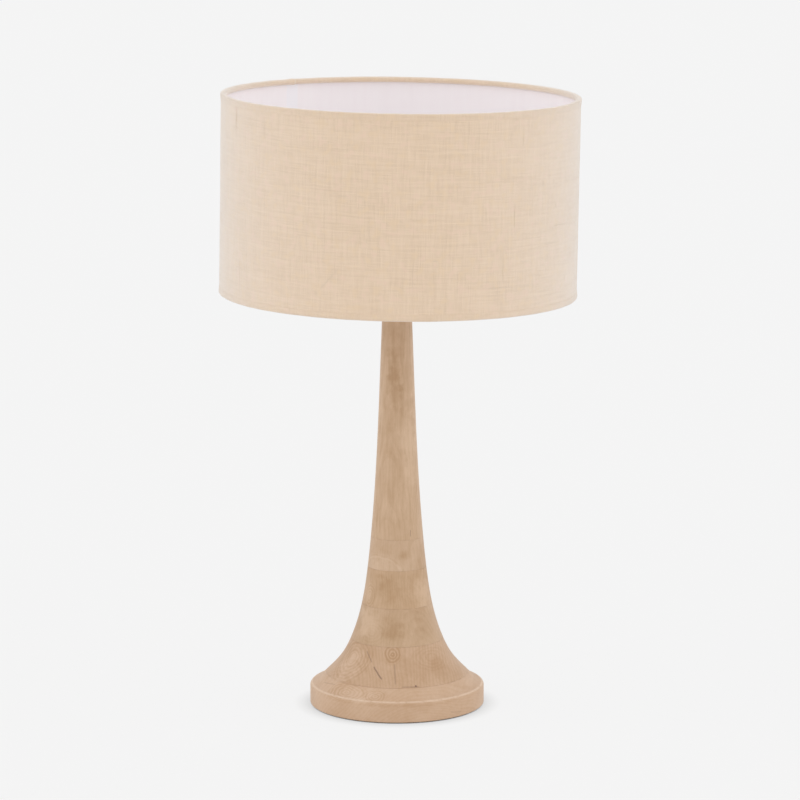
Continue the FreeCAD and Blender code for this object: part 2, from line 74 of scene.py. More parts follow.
print("the lamp is", round((cad_box[1][2] - cad_box[0][2]) / MM, 1), "mm tall, in", len(nodes), "nodes")

# %% [markdown]
# ## Camera
# A product photograph is taken from well back with a long lens, so that the rim, the hem and the
# foot stay quiet ellipses. How open each ellipse is gives the camera's height, and how much the
# rim and the foot differ in scale gives its distance. The small shift centres the frame.

# %% Camera
EYE_DISTANCE = 3.9        # in front of the column's axis
EYE_HEIGHT = 1.0113
LOOKS_DOWN = 0.1791       # radians below the horizon
LENS = 181.665            # on the usual 36 mm sensor
FRAME_SHIFT = 0.0037

eye = bpy.data.cameras.new("studio_camera")
eye.lens = LENS
eye.shift_x = FRAME_SHIFT
camera = bpy.data.objects.new("studio_camera", eye)
camera.location = (0, -EYE_DISTANCE, EYE_HEIGHT)
camera.rotation_euler = (math.pi / 2 - LOOKS_DOWN, 0, 0)
scene = bpy.context.scene
scene.collection.objects.link(camera)
scene.camera = camera
scene.view_settings.view_transform = "Standard"

# %% [markdown]
# ## Formulas instead of spaghetti
# A pattern is easier to read as a formula than as forty boxes and wires. `Wire` holds one socket
# and takes part in sums: each operation adds one Math node. `Tree` adds every other node with one
# method: its kind, its settings, then the values or wires of its sockets.

# %% Wires and trees
class Wire:
    """One socket of a node tree, which can take part in sums."""

    def __init__(self, tree, socket):
        self.tree = tree
        self.socket = socket

    def between(self, start, end):
        """Rises smoothly from 0 at start to 1 at end, and stays level beyond them."""
        sockets = {"Value": self, "From Min": start, "From Max": end}
        return self.tree.node("ShaderNodeMapRange", {"interpolation_type": "SMOOTHSTEP"}, sockets)


def operator(operation, reflected=False):
    """What a wire does for a sign: one Math node. Reflected is the form behind 1 - mask."""
    if reflected:
        return lambda wire, other: wire.tree.sum(operation, other, wire)
    return lambda wire, *others: wire.tree.sum(operation, wire, *others)


for sign, operation in {"add": "ADD", "sub": "SUBTRACT", "mul": "MULTIPLY", "truediv": "DIVIDE"}.items():
    setattr(Wire, f"__{sign}__", operator(operation))
    setattr(Wire, f"__r{sign}__", operator(operation, reflected=True))
for word, operation in {"floor": "FLOOR", "power": "POWER", "size": "ABSOLUTE", "root": "SQRT",
                        "sine": "SINE", "most": "MAXIMUM"}.items():
    setattr(Wire, word, operator(operation))


def socket_named(sockets, key):
    """By place, or the first one in use that has this name."""
    if isinstance(key, int):
        return sockets[key]
    return next(socket for socket in sockets if socket.enabled and socket.name == key)


def set_stops(ramp, stops):
    """Gives a colour ramp its stops: (place, colour) or (place, grey value)."""
    while len(ramp.elements) < len(stops):
        ramp.elements.new(1.0)
    for element, (place, shade) in zip(ramp.elements, stops):
        element.position = place
        element.color = shade if isinstance(shade, tuple) else (shade, shade, shade, 1.0)


class Tree:
    """Adds nodes to the tree of a material, a world or a modifier."""

    def __init__(self, tree):
        self.tree = tree

    def node(self, kind, settings=None, sockets=None, out=0):
        made = self.tree.nodes.new(kind)
        for name, value in (settings or {}).items():
            if name == "stops":
                set_stops(made.color_ramp, value)
            else:
                setattr(made, name, value)
        pairs = enumerate(sockets) if isinstance(sockets, list) else (sockets or {}).items()
        for key, value in pairs:
            self.feed(socket_named(made.inputs, key), value)
        return Wire(self, socket_named(made.outputs, out)) if made.outputs else None

    def feed(self, socket, value):
        if isinstance(value, Wire):
            self.tree.links.new(value.socket, socket)
        else:
            socket.default_value = value

    def sum(self, operation, *values):
        return self.node("ShaderNodeMath", {"operation": operation}, list(values))

    def vector(self, operation, a, b):
        return self.node("ShaderNodeVectorMath", {"operation": operation}, [a, b], "Vector")

    def scaled(self, a, factor):
        sockets = {"Vector": a, "Scale": factor}
        return self.node("ShaderNodeVectorMath", {"operation": "SCALE"}, sockets, "Vector")

    def mix(self, factor, a, b):
        sockets = {"Factor": factor, "A": a, "B": b}
        return self.node("ShaderNodeMix", {"data_type": "RGBA"}, sockets, "Result")

    def parts(self, vector):
        """The three numbers of a vector, as wires."""
        split = self.node("ShaderNodeSeparateXYZ", None, [vector])
        return [Wire(self, output) for output in split.socket.node.outputs]

    def joined(self, x, y, z):
        return self.node("ShaderNodeCombineXYZ", None, [x, y, z])

    def cloud(self, vector, scale, detail=2.0, roughness=0.5, out=0):
        """Soft noise from 0 to 1, about one swell in each 1 / scale."""
        sockets = {"Vector": vector, "Scale": scale, "Detail": detail, "Roughness": roughness}
        return self.node("ShaderNodeTexNoise", None, sockets, out)


def paint(red, green, blue):
    """A colour as picked on a screen, 0 to 255, as the linear values that a shader needs."""
    linear = []
    for value in (red, green, blue):
        share = value / 255
        linear.append(share / 12.92 if share <= 0.04045 else ((share + 0.055) / 1.055) ** 2.4)
    return (*linear, 1.0)


# %% [markdown]
# ## Studio
# The lamp stands in even daylight between two large diffusers, one at each side, which make the
# sides of a round form a little brighter than its front. Here they are two very wide suns in a
# white world. The backdrop's pale grey is only what the camera, a reflection or a look through
# glass sees, so it adds no light. The floor is painted the same grey; close round the foot it
# darkens by how much of the sky the foot takes from it.

# %% Studio
BACKDROP = paint(244, 244, 244)
SKY_STRENGTH = 0.82
FLOOR_HALF = 30.0                 # it runs past the top of the picture
CONTACT_REACH = 0.018             # how far the foot's contact shadow spreads
CONTACT_CURVE = 0.36              # how quickly that shadow thins out
FLOOR_GLOW = 1.012                # makes up for the share that is lit
FLOOR_SHADOW_SHARE = 0.10         # share of the floor that is really lit, and so shaded
SUNS = {                          # direction it comes from, strength, width in degrees
    "left_sun": ((-1.0, -0.34, 0.25), 0.56, 80),
    "right_sun": ((1.0, -0.28, 0.22), 0.60, 80),
}


def seen_directly(tree):
    """1 for the camera, for a mirror's reflection and for a look through glass."""
    path = tree.node("ShaderNodeLightPath").socket.node.outputs
    wires = [Wire(tree, path[name]) for name in ("Is Camera Ray", "Is Glossy Ray", "Is Transmission Ray")]
    return wires[0].most(wires[1]).most(wires[2])


def studio_world():
    world = bpy.data.worlds.new("studio_world")
    world.use_nodes = True
    world.node_tree.nodes.clear()
    tree = Tree(world.node_tree)
    lit = tree.node("ShaderNodeBackground", None, {"Color": (1, 1, 1, 1), "Strength": SKY_STRENGTH})
    shown = tree.node("ShaderNodeBackground", None, {"Color": BACKDROP, "Strength": 1.0})
    both = tree.node("ShaderNodeMixShader", None, [seen_directly(tree), lit, shown])
    tree.node("ShaderNodeOutputWorld", None, {"Surface": both})
    return world


def studio_sun(name, comes_from, strength, width):
    light = bpy.data.lights.new(name, "SUN")
    light.energy = strength
    light.angle = math.radians(width)
    sun = bpy.data.objects.new(name, light)
    sun.rotation_euler = Vector(comes_from).to_track_quat("Z", "Y").to_euler()
    scene.collection.objects.link(sun)


def floor_paint():
    """Mostly an even grey to the camera, darkened where the foot stands close."""
    material = bpy.data.materials.new("studio_floor")
    material.use_nodes = True
    material.node_tree.nodes.clear()
    tree = Tree(material.node_tree)
    near = tree.node("ShaderNodeAmbientOcclusion", {"samples": 8}, {"Distance": CONTACT_REACH}, "AO")
    strength = near.power(CONTACT_CURVE) * FLOOR_GLOW
    glow = tree.node("ShaderNodeEmission", None, {"Color": BACKDROP, "Strength": strength})
    matt = tree.node("ShaderNodeBsdfDiffuse", None, {"Color": BACKDROP})
    shown = tree.node("ShaderNodeMixShader", None, [FLOOR_SHADOW_SHARE, glow, matt])
    both = tree.node("ShaderNodeMixShader", None, [seen_directly(tree), matt, shown])
    tree.node("ShaderNodeOutputMaterial", None, {"Surface": both})
    return material


scene.world = studio_world()
for sun_name, (comes_from, strength, width) in SUNS.items():
    studio_sun(sun_name, comes_from, strength, width)
corners = [(x * FLOOR_HALF, y * FLOOR_HALF, cad_box[0][2]) for x, y in ((-1, -1), (1, -1), (1, 1), (-1, 1))]
floor_mesh = bpy.data.meshes.new("studio_floor")
floor_mesh.from_pydata(corners, [], [(0, 1, 2, 3)])
floor_mesh.materials.append(floor_paint())
floor = bpy.data.objects.new("studio_floor", floor_mesh)
scene.collection.objects.link(floor)
floor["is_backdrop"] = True

# %% [markdown]
# ## Turning, in code
# Most of a lamp is turned: an outline goes round an axis. `turned` skins such a form. The outline
# may change a little with the angle, which makes oval wood, a screw thread or an uneven hem from
# the same few lines. The skin keeps a UV map in metres, along the circle and along the outline,
# for finishes that follow the surface.

# %% Turned forms
UV_NAME = "surface"
SHARP_EDGE = math.radians(32)


def add_piece(name, mesh):
    piece = bpy.data.objects.new(name, mesh)
    scene.collection.objects.link(piece)
    return piece


def soft_shading(mesh):
    mesh.polygons.foreach_set("use_smooth", [True] * len(mesh.polygons))
    mesh.set_sharp_from_angle(angle=SHARP_EDGE)


def turned(name, outline_at, sides, uv_radius=0.1, first_angle=0.0, place=None):
    """Skin of a form round the Z axis. outline_at(angle) gives the closed outline there, as
    (radius, height) in metres, always with the same number of points. Angle 0 is the front, -Y."""
    angles = [first_angle + math.tau * index / sides for index in range(sides)]
    points = []
    for angle in angles:
        outline = outline_at(angle)
        points += [(r * math.sin(angle), -r * math.cos(angle), z) for r, z in outline]
    count = len(outline)
    first = outline_at(angles[0])
    along = [0.0]
    for a, b in zip(first, first[1:] + first[:1]):
        along.append(along[-1] + math.dist(a, b))
    faces, uvs = [], []
    for column in range(sides):
        beside = (column + 1) % sides
        left, right = (first_angle + math.tau * k / sides for k in (column, column + 1))
        for row in range(count):
            above = (row + 1) % count
            faces.append((column * count + row, beside * count + row,
                          beside * count + above, column * count + above))
            low, high = along[row], along[row + 1]
            uvs += [left * uv_radius, low, right * uv_radius, low,
                    right * uv_radius, high, left * uv_radius, high]
    mesh = bpy.data.meshes.new(name)
    mesh.from_pydata(points, [], faces)
    mesh.uv_layers.new(name=UV_NAME).uv.foreach_set("vector", uvs)
    close_and_orient(mesh)
    if place:
        mesh.transform(place)
    soft_shading(mesh)
    return add_piece(name, mesh)


def close_and_orient(mesh):
    """Merges the points that meet at a pole, and turns every face outwards."""
    work = bmesh.new()
    work.from_mesh(mesh)
    bmesh.ops.remove_doubles(work, verts=work.verts, dist=1e-7)
    bmesh.ops.recalc_face_normals(work, faces=work.faces)
    work.to_mesh(mesh)
    work.free()


def same_all_round(outline):
    return lambda angle: outline


def wander(*place):
    """Smooth noise from about -1 to 1."""
    return noise.noise(Vector(place))


def dressed(piece, body, slot, material, *stands_for):
    """Gives a finished piece its material, its body and the nodes that it stands for. slot is not used."""
    piece.data.materials.clear()
    piece.data.materials.append(material)
    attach(piece, body)
    if stands_for:
        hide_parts(*stands_for)
    print(piece.name, "-", len(piece.data.polygons), "faces, on", body)
    return piece


# %% [markdown]
# ## The column's outline
# The frame has the column as six solids. Their meshes are good to a tenth of a millimetre, which
# is enough to measure but shows as facets in a raking light, so each block is turned again on
# more sides. Its outline is read from the frame's mesh, then smoothed: a curve is drawn through
# the radius at each level that the mesh has, and points are taken from it every millimetre.

# %% Outlines from the frame
WOOD_BLOCKS = ["foot_board", *(f"flare_block_{number}" for number in (1, 2, 3, 4)), "column_post"]
LEVEL_POINTS = 40         # a level of the turned outline has at least this many points
SKIN_FROM = 0.35          # share of a block's widest radius; what lies further in is its bore
OUTLINE_STEP = 1.0 * MM


def levels_of(node):
    """(height, radius) at each level of a turned node's mesh, from the bottom up."""
    places = np.array([vertex.co for vertex in nodes[node].data.vertices])
    radii = np.hypot(places[:, 0], places[:, 1])
    heights = np.round(places[:, 2], 5)
    levels = []
    for height in np.unique(heights):
        here = radii[(heights == height) & (radii > SKIN_FROM * radii.max())]
        if len(here) >= LEVEL_POINTS:
            levels.append((float(height), float(here.max())))
    return levels


def smooth_curve(levels):
    """Points along a smooth curve through the levels, as (radius, height)."""
    known = np.array([(r, z) for z, r in levels])
    ends = np.vstack([2 * known[0] - known[1], known, 2 * known[-1] - known[-2]])
    curve = []
    for a, b, c, d in zip(ends, ends[1:], ends[2:], ends[3:]):
        gaps = [max(np.linalg.norm(q - p), 1e-9) ** 0.5 for p, q in ((a, b), (b, c), (c, d))]
        times = np.cumsum([0] + gaps)
        count = max(2, int(np.linalg.norm(c - b) / OUTLINE_STEP) + 1)
        for t in np.linspace(times[1], times[2], count)[:-1]:
            points = [a, b, c, d]
            for order in (1, 2, 3):
                points = [
                    ((times[i + order] - t) * points[i] + (t - times[i]) * points[i + 1])
                    / (times[i + order] - times[i])
                    for i in range(len(points) - 1)
                ]
            curve.append(tuple(points[0]))
    return curve + [tuple(known[-1])]


column_outline = {block: smooth_curve(levels_of(block)) for block in WOOD_BLOCKS}
for block, outline in column_outline.items():
    print(block, "has", len(outline), "outline points, from", round(outline[0][1] / MM, 1), "mm up")

# %% [markdown]
# ## Turning the blocks
# Wood never stays as the lathe left it. Each block has dried a little oval, its own way, so a
# fingertip finds the glue joints; sanding has broken their edges, and the ridge of the foot has
# small dents from use. All of it is a few tenths of a millimetre at most, and it still decides how
# the light runs over the joints. The gland's seat is cut into the foot as on the bench.

# %% Turned wood blocks
BORE_RADIUS = 5.3 * MM
COUNTERBORE = (15.0 * MM, 15.0 * MM)      # radius, depth
JOINT_BREAK = 0.14 * MM                   # sanded edge at a glue joint
OVAL_SHARE = 0.0006
TOOL_MARK = (0.008 * MM, 1.7 * MM)        # depth, pitch
SANDED_OFF = 0.30 * MM                    # what sanding took off the turned outline
RIDGE_LEVEL = 21.3 * MM
RIDGE_RADIUS = 84.6                       # in millimetres, as the finishes read it
RIDGE_DENT = 0.28 * MM
RIDGE_WIDTH = 1.1 * MM                    # how far from the ridge its dents reach
MARK_LENGTH = 20 * MM                     # over which a tool mark comes and goes
GLAND_SEAT = [(0, 0), (4.0, 0), (4.0, 74.0), (6.05, 74.0), (6.05, 86.0),
              (7.55, 86.0), (7.55, 90.0), (0, 90.0)]    # radius, depth from the axis, in millimetres
GLAND_LEVEL = 10.0 * MM
FOOT_SIDES, BLOCK_SIDES = 288, 192


def wood_outline(block, seed):
    """The outline of a block at an angle: bore, lower face, worn outside and upper face."""
    skin = column_outline[block]
    low, high = skin[0][1], skin[-1][1]
    inside = [(BORE_RADIUS, high), (BORE_RADIUS, low)]
    if block == "foot_board":
        radius, depth = COUNTERBORE
        inside = [(BORE_RADIUS, high), (BORE_RADIUS, low + depth), (radius, low + depth), (radius, low)]

    def at_angle(angle):
        swell = 1 + OVAL_SHARE * math.cos(2 * angle + seed)
        x, y = math.sin(angle), math.cos(angle)
        outside = []
        for radius, height in skin:
            depth, pitch = TOOL_MARK
            comes_and_goes = 0.5 + wander(x, y, height / MARK_LENGTH + seed)
            worn = depth * math.sin(math.tau * height / pitch) * comes_and_goes
            if block == "foot_board":
                near_ridge = math.exp(-((height - RIDGE_LEVEL) / RIDGE_WIDTH) ** 2)
                dents = wander(9 * x, 9 * y, seed) + 0.25 * wander(40 * x, 40 * y, seed)
                worn -= RIDGE_DENT * near_ridge * max(0.0, dents)
            outside.append((radius * swell - SANDED_OFF + worn, height))
        first, last = outside[0], outside[-1]
        outside[0] = (first[0], first[1] + JOINT_BREAK)
        outside[-1] = (last[0], last[1] - JOINT_BREAK)
        return inside + [(first[0] - JOINT_BREAK, low)] + outside + [(last[0] - JOINT_BREAK, high)]

    return at_angle


def cut_gland_seat(board):
    """Takes the cord's channel and the gland's seat out of the back of the foot."""
    turn_back = Matrix.Translation((0, 0, GLAND_LEVEL)) @ Matrix.Rotation(-math.pi / 2, 4, "X")
    outline = [(r * MM, z * MM) for r, z in GLAND_SEAT]
    cutter = turned("gland_cutter", same_all_round(outline), 48, place=turn_back)
    cut = board.modifiers.new("gland_seat", "BOOLEAN")
    cut.object = cutter
    cut.operation = "DIFFERENCE"
    evaluated = board.evaluated_get(bpy.context.evaluated_depsgraph_get())
    board_mesh = bpy.data.meshes.new_from_object(evaluated)
    board.modifiers.clear()
    board.data = board_mesh
    bpy.data.objects.remove(cutter)
    soft_shading(board.data)


wood_pieces = {}
for seed, block in enumerate(WOOD_BLOCKS):
    sides = FOOT_SIDES if block == "foot_board" else BLOCK_SIDES
    wood_pieces[block] = turned(block + "_turned", wood_outline(block, seed), sides)
cut_gland_seat(wood_pieces["foot_board"])
print("turned", len(wood_pieces), "blocks")

# %% [markdown]
# ## Wood
# Pale, bleached hardwood under a dull wax. Growth rings are shells round the pith, so the shader
# keeps them as that: it turns the block's space until X runs along the grain, measures how far a
# point lies from the pith line, and colours by rings of that distance. The same numbers then give
# straight streaks on a side face, arches on a sloping one and circles on end grain, as in a real
# block. Fibre streaks and pores are noise stretched along the grain. What one block has for itself,
# a knot, an arch of rings, a shake or a patch of another tone, is placed on its skin by azimuth and
# height. Two tall pale patches down the sides of the post are painted side light.

# %% Wood finish
PORE_COLOUR = paint(150, 116, 88)
SHAKE_COLOUR = paint(128, 98, 80)
# paler colour of the foot's ridge: rubbed wear and painted highlight
RIDGE_WEAR_AND_HIGHLIGHT = paint(236, 211, 187)


class Finish(Tree):
    """A material with one Principled shader."""

    def __init__(self, name):
        self.material = bpy.data.materials.new(name)
        self.material.use_nodes = True
        self.material.node_tree.nodes.clear()
        super().__init__(self.material.node_tree)

    def place(self):
        """Where a point is on the lamp, in millimetres."""
        there = self.node("ShaderNodeTexCoord", None, None, "Object")
        return self.scaled(there, 1 / MM)

    def uv(self):
        """Along the circle and along the outline, in millimetres."""
        there = self.node("ShaderNodeUVMap", {"uv_map": UV_NAME}, None, "UV")
        return self.scaled(there, 1 / MM)

    def bump(self, height, depth):
        """Relief of that depth, in millimetres, where height goes from 0 to 1."""
        return self.node("ShaderNodeBump", None, {"Strength": 1.0, "Distance": depth * MM, "Height": height})

    def surface(self, **values):
        """values are the Principled shader's sockets, such as base_color."""
        sockets = {}
        for name, value in values.items():
            sockets[name.replace("_", " ").title().replace("Ior", "IOR")] = value
        shader = self.node("ShaderNodeBsdfPrincipled", None, sockets)
        self.node("ShaderNodeOutputMaterial", None, {"Surface": shader})
        return self.material


def turned_to(finish, place, pith, heading, pitch):
    """The place in a block's own space: the pith runs along X through the given point."""
    turn = (0, math.radians(pitch), math.radians(heading))
    sockets = {"Vector": place, "Location": pith, "Rotation": turn}
    return finish.node("ShaderNodeMapping", {"vector_type": "TEXTURE"}, sockets)


def skin_place(finish, place):
    """Azimuth in degrees from the front towards +X, height and radius in millimetres."""
    x, y, z = finish.parts(place)
    azimuth = finish.sum("ARCTAN2", x, y * -1) * (180 / math.pi)
    return azimuth, z, (x * x + y * y).root()


def away_from(skin, azimuth, height, wide, high):
    """How far a point of the skin is from a mark, in millimetres, stretched by wide and high."""
    across = (skin[0] - azimuth) * skin[2] * (math.pi / 180 / wide)
    up = (skin[1] - height) * (1 / high)
    return (across * across + up * up).root()


def ring_mark(skin, wobble, azimuth, height, wide, high, inner, outer, spacing):
    """Growth rings round a centre on the skin, between two distances."""
    distance = away_from(skin, azimuth, height, wide, high) + wobble * spacing
    lines = (distance * (math.tau / spacing)).sine() * 0.5 + 0.5
    return lines * distance.between(outer, outer * 0.7) * distance.between(inner * 0.9, inner + 0.01)


def shake_mark(finish, skin, wobble, start, end, width):
    """A drying crack between two places on the skin, each (azimuth, height)."""
    radius = skin[2] * (math.pi / 180)
    across, up = (skin[0] - start[0]) * radius, skin[1] - start[1]
    run, rise = radius * (end[0] - start[0]), end[1] - start[1]
    length = run * run + rise ** 2
    share = finish.sum("MINIMUM", ((across * run + up * rise) / length).most(0.0), 1.0)
    side = across - share * run + wobble * 0.9
    off = up - share * rise
    distance = (side * side + off * off).root()
    taper = (share * (1 - share)).between(0.0, 0.12)
    return distance.between(width, width * 0.2) * taper


def marks_and_side_light_of(finish, skin, wobble, edge, marks_and_side_light):
    """A block's marks, painted side light on the post among them: what they add to its tone, and how deep
    its shakes are.
    """
    tone, shakes = wobble * 0.0, wobble * 0.0
    for kind, *values, depth in marks_and_side_light:
        if kind == "rings":
            tone = tone + ring_mark(skin, wobble, *values) * depth
        elif kind == "stain":
            tone = tone + (away_from(skin, *values) + edge).between(1.15, 0.0) * depth
        elif kind == "shake":
            shakes = shakes + shake_mark(finish, skin, wobble, *values) * depth
    return tone, shakes


def wood_finish(block, grain, marks_and_side_light):
    """One block's wood. grain holds its pith line, rings and tone, and the last argument its marks, painted
    side light on the post among them.
    """
    finish = Finish(block + "_wood")
    place = finish.place()
    skin = skin_place(finish, place)
    lie = turned_to(finish, place, grain["pith"], grain["heading"], grain["pitch"])
    swirl = finish.cloud(lie, 0.022, 1, 0.5, "Color")
    drift = finish.vector("MULTIPLY", swirl, (0, grain["wild"], grain["wild"]))
    x, y, z = finish.parts(finish.vector("ADD", lie, drift))
    from_pith = (y * y + z * z).root()
    wobble = finish.cloud(place, 0.16, 2) - 0.5

    turn = from_pith / grain["spacing"] + finish.cloud(finish.joined(0, 0, from_pith), 0.09, 1) * 2.0
    ring = turn - turn.floor()
    latewood = ring.between(0.20, 0.85) * ring.between(1.0, 0.86)
    streak = finish.cloud(finish.joined(x * 0.05, y, z), 0.34, 3, 0.6)
    fibre = finish.cloud(finish.joined(x * 0.10, y, z), 1.9, 2, 0.6)
    pore = finish.cloud(finish.joined(x * 0.18, y, z), 1.7, 1, 0.5).between(0.66, 0.76)
    patch = finish.cloud(place, 0.042, 3, 0.55)

    edge = (finish.cloud(place, 0.075, 3, 0.6) - 0.5) * 2.4
    marks, shakes = marks_and_side_light_of(finish, skin, wobble, edge, marks_and_side_light)

    tone = latewood * grain["ring_depth"] + (streak - 0.5) * grain["streaky"] + (fibre - 0.5) * 0.34
    tone = tone + (patch - 0.5) * grain["patchy"] + marks + 0.42

    colour = finish.mix(tone.between(-0.15, 1.15), grain["pale"], grain["deep"])
    colour = finish.mix(pore * 0.16, colour, PORE_COLOUR)
    colour = finish.mix(shakes, colour, SHAKE_COLOUR)
    low, high = (column_outline[block][end][1] / MM for end in (0, -1))
    joint = skin[1].between(low + 0.6, low + 0.1) + skin[1].between(high - 0.6, high - 0.1)
    colour = finish.mix(joint * 0.16 * finish.cloud(place, 0.12, 1).between(0.3, 0.6), colour, SHAKE_COLOUR)
    relief = 0.6 - latewood * 0.10 - pore * 0.30 + (fibre - 0.5) * 0.4 - shakes
    if block == "foot_board":
        # painted highlight and wear: the foot's ridge is painted paler, partly for rubbed wear and partly
        # for the light its edge catches
        from_ridge = (skin[2] - RIDGE_RADIUS).size() + (skin[1] - RIDGE_LEVEL / MM).size()
        rubbed_and_highlight = from_ridge.between(2.4, 0.4) * finish.cloud(place, 0.25, 2).between(0.2, 0.55)
        colour = finish.mix(rubbed_and_highlight * 0.55, colour, RIDGE_WEAR_AND_HIGHLIGHT)
    return finish.surface(
        base_color=colour,
        roughness=0.50 + streak * 0.16,
        specular_ior_level=0.5,
        sheen_weight=0.12,
        sheen_roughness=0.5,
        normal=finish.bump(relief, 0.05),
    )


GRAIN_COLUMNS = ("pith", "heading", "pitch", "wild", "spacing",
                 "ring_depth", "streaky", "patchy", "pale", "deep")
GRAIN_ROWS = {
    "foot_board": ((40, 60, -60), 84, 3, 14, 3.1, 0.10, 0.35, 0.75, (217, 186, 158), (191, 153, 117)),
    "flare_block_1": ((-82, -54, 40), 0, 87, 12, 3.4, 0.16, 0.40, 0.85, (212, 180, 151), (184, 146, 109)),
    "flare_block_2": ((70, -80, 80), 0, 84, 16, 3.0, 0.08, 0.40, 0.95, (209, 178, 147), (178, 142, 104)),
    "flare_block_3": ((-66, -30, 120), 0, 92, 14, 2.8, 0.10, 0.45, 0.95, (210, 178, 146), (180, 143, 104)),
    "flare_block_4": ((-60, 50, 150), 0, 88, 12, 3.0, 0.08, 0.45, 0.85, (213, 183, 154), (184, 148, 111)),
    "column_post": ((30, 60, 290), 0, 89.4, 7, 2.6, 0.10, 0.80, 0.55, (215, 184, 153), (181, 145, 108)),
}
MARKS_AND_SIDE_LIGHT = {
    "foot_board": [
        ("rings", -40, 25.0, 1.5, 0.50, 0.5, 18, 3.0, 0.34),
        ("rings", -16, 24.6, 1.1, 0.50, 0.5, 12, 2.6, 0.30),
        ("shake", (-72, 26.0), (-55, 28.5), 0.5, 0.30),
        ("shake", (37.1, 7.6), (47.5, 5.0), 0.5, 0.40),
        ("stain", -30, 25, 22, 9, -0.35),
        ("stain", 0, 18.5, 90, 2.5, 0.22),
    ],
    "flare_block_1": [
        ("rings", -5.4, 60.6, 1.0, 1.05, 0.3, 10.5, 3.1, 0.55),
        ("rings", -56, 52, 1.25, 1.1, 4, 24, 3.1, 0.30),
        ("rings", 42, 55, 1.6, 0.8, 2, 17, 3.3, 0.16),
        ("rings", -5.4, 60.6, 0.8, 1.0, 0.0, 1.6, 9.0, 0.8),
        ("stain", -52, 46, 22, 22, -0.40),
        ("stain", -5, 52, 15, 12, 0.18),
        ("stain", 52, 40, 30, 20, 0.22),
        ("shake", (-39, 62), (-27, 51.5), 0.8, 0.45),
        ("shake", (-25, 49.0), (-12.9, 38.0), 1.0, 0.75),
        ("shake", (-2.8, 52.6), (-1.3, 33.6), 1.1, 0.32),
        ("shake", (3.0, 32.7), (19.0, 32.3), 0.6, 0.55),
        ("shake", (14.9, 33.1), (16.1, 32.9), 1.0, 3.0),
    ],
    "flare_block_2": [
        ("rings", -38, 79, 1.3, 0.9, 1, 15, 3.2, 0.12),
        ("stain", -6, 84, 16, 14, 0.40),
        ("stain", -52, 88, 18, 16, -0.55),
        ("stain", 46, 86, 14, 20, 0.10),
    ],
    "flare_block_3": [
        ("rings", -56, 112, 0.8, 1.2, 1.0, 13, 2.8, 0.30),
        ("stain", -14, 120, 13, 13, 0.36),
        ("stain", -34, 134, 8, 4, 0.34),
        ("stain", -62, 112, 9, 14, -0.30),
        ("stain", 56, 118, 13, 20, -0.55),
    ],
    "flare_block_4": [
        ("rings", -40, 134, 1.35, 0.95, 19, 24.0, 3.6, -0.34),
        ("stain", -42, 140, 24, 18, -0.30),
        ("stain", 16, 154, 8, 6, 0.34),
        ("stain", 60, 152, 14, 16, 0.22),
    ],
    "column_post": [
        ("shake", (31.3, 179.6), (30.7, 172.6), 0.50, 0.60),
        ("stain", 16.5, 300, 3.4, 26, 0.30),
        ("stain", -8, 318, 9, 34, 0.42),
        ("stain", -4, 360, 10, 40, 0.26),
        ("stain", 36, 268, 12, 50, -0.35),
        # painted side light: the next two patches make both sides of the post paler along its length
        ("stain", -80, 290, 9, 130, -0.25),
        ("stain", 80, 290, 9, 130, -0.35),
    ],
}

for block, piece in wood_pieces.items():
    grain = dict(zip(GRAIN_COLUMNS, GRAIN_ROWS[block]))
    grain.update(pale=paint(*grain["pale"]), deep=paint(*grain["deep"]))
    dressed(piece, "column", "wood", wood_finish(block, grain, MARKS_AND_SIDE_LIGHT[block]), block)

# %% [markdown]
# ## The shade's own space
# The shade hangs from two pins and leans a touch to the right, so everything on it is built
# straight in its own space, then leaned and lifted to the pins with one matrix. Measuring the
# frame's cloth through the inverse of that matrix gives its true radius and height.

# %% Shade space
SHADE_LEAN = math.radians(0.9)            # its top leans towards +X
tilt_joint = next(joint for joint in frame["joints"] if joint["name"] == "shade_tilt")
ON_SHADE = Matrix.Translation(tilt_joint["pos_m"]) @ Matrix.Rotation(SHADE_LEAN, 4, "Y")


def measured_on_shade(node):
    """Inner radius, outer radius, lowest and highest point of a node, in the shade's space."""
    places = np.array([ON_SHADE.inverted() @ vertex.co for vertex in nodes[node].data.vertices])
    radii = np.hypot(places[:, 0], places[:, 1])
    return radii.min(), radii.max(), places[:, 2].min(), places[:, 2].max()


cloth_inside, cloth_outside, cloth_low, cloth_high = measured_on_shade("shade_cloth")
lining_inside, lining_outside, lining_low, lining_high = measured_on_shade("shade_lining")
hem_inside, _, drum_low, _ = measured_on_shade("bottom_hem")
_, _, _, drum_high = measured_on_shade("top_hem")
wire_inside, wire_outside = measured_on_shade("top_wire")[:2]
drum_size = (2 * cloth_outside / MM, (drum_high - drum_low) / MM)
print("drum: %.1f mm across and %.1f mm high" % drum_size)

# %% [markdown]
# ## Cloth and lining
# The drum is a strip of raffia-like slub weave, glued to a white lining and closed with a lap: the
# strip's end is turned under and laid over its start, back left. Glued cloth follows its lining, but
# never quite: it has shallow swells, a fifth of a millimetre high, and the lap stands proud with one
# sharp edge. The lap is also where the weave's pattern may break, so the UV map starts there.

# %% Cloth and lining
LAP_ANGLE = math.radians(-141.1)          # azimuth of the lap, from the front towards +X
LAP_WIDTH = 13.0 * MM
LAP_STEP = 0.45 * MM
CLOTH_THICKNESS = 0.45 * MM
CLOTH_SWELL = 0.16 * MM
CLOTH_GAP = 0.02 * MM                     # glue, so that cloth and lining never share a face
DRUM_SIDES, LINING_SIDES, WALL_ROWS = 540, 360, 56
LINING_SWELL = 0.10 * MM
cloth_face = cloth_inside + CLOTH_THICKNESS


def past_lap(angle):
    """How far round the drum a place lies from the lap's edge, in metres, from 0 up."""
    return ((angle - LAP_ANGLE) % math.tau) * cloth_face


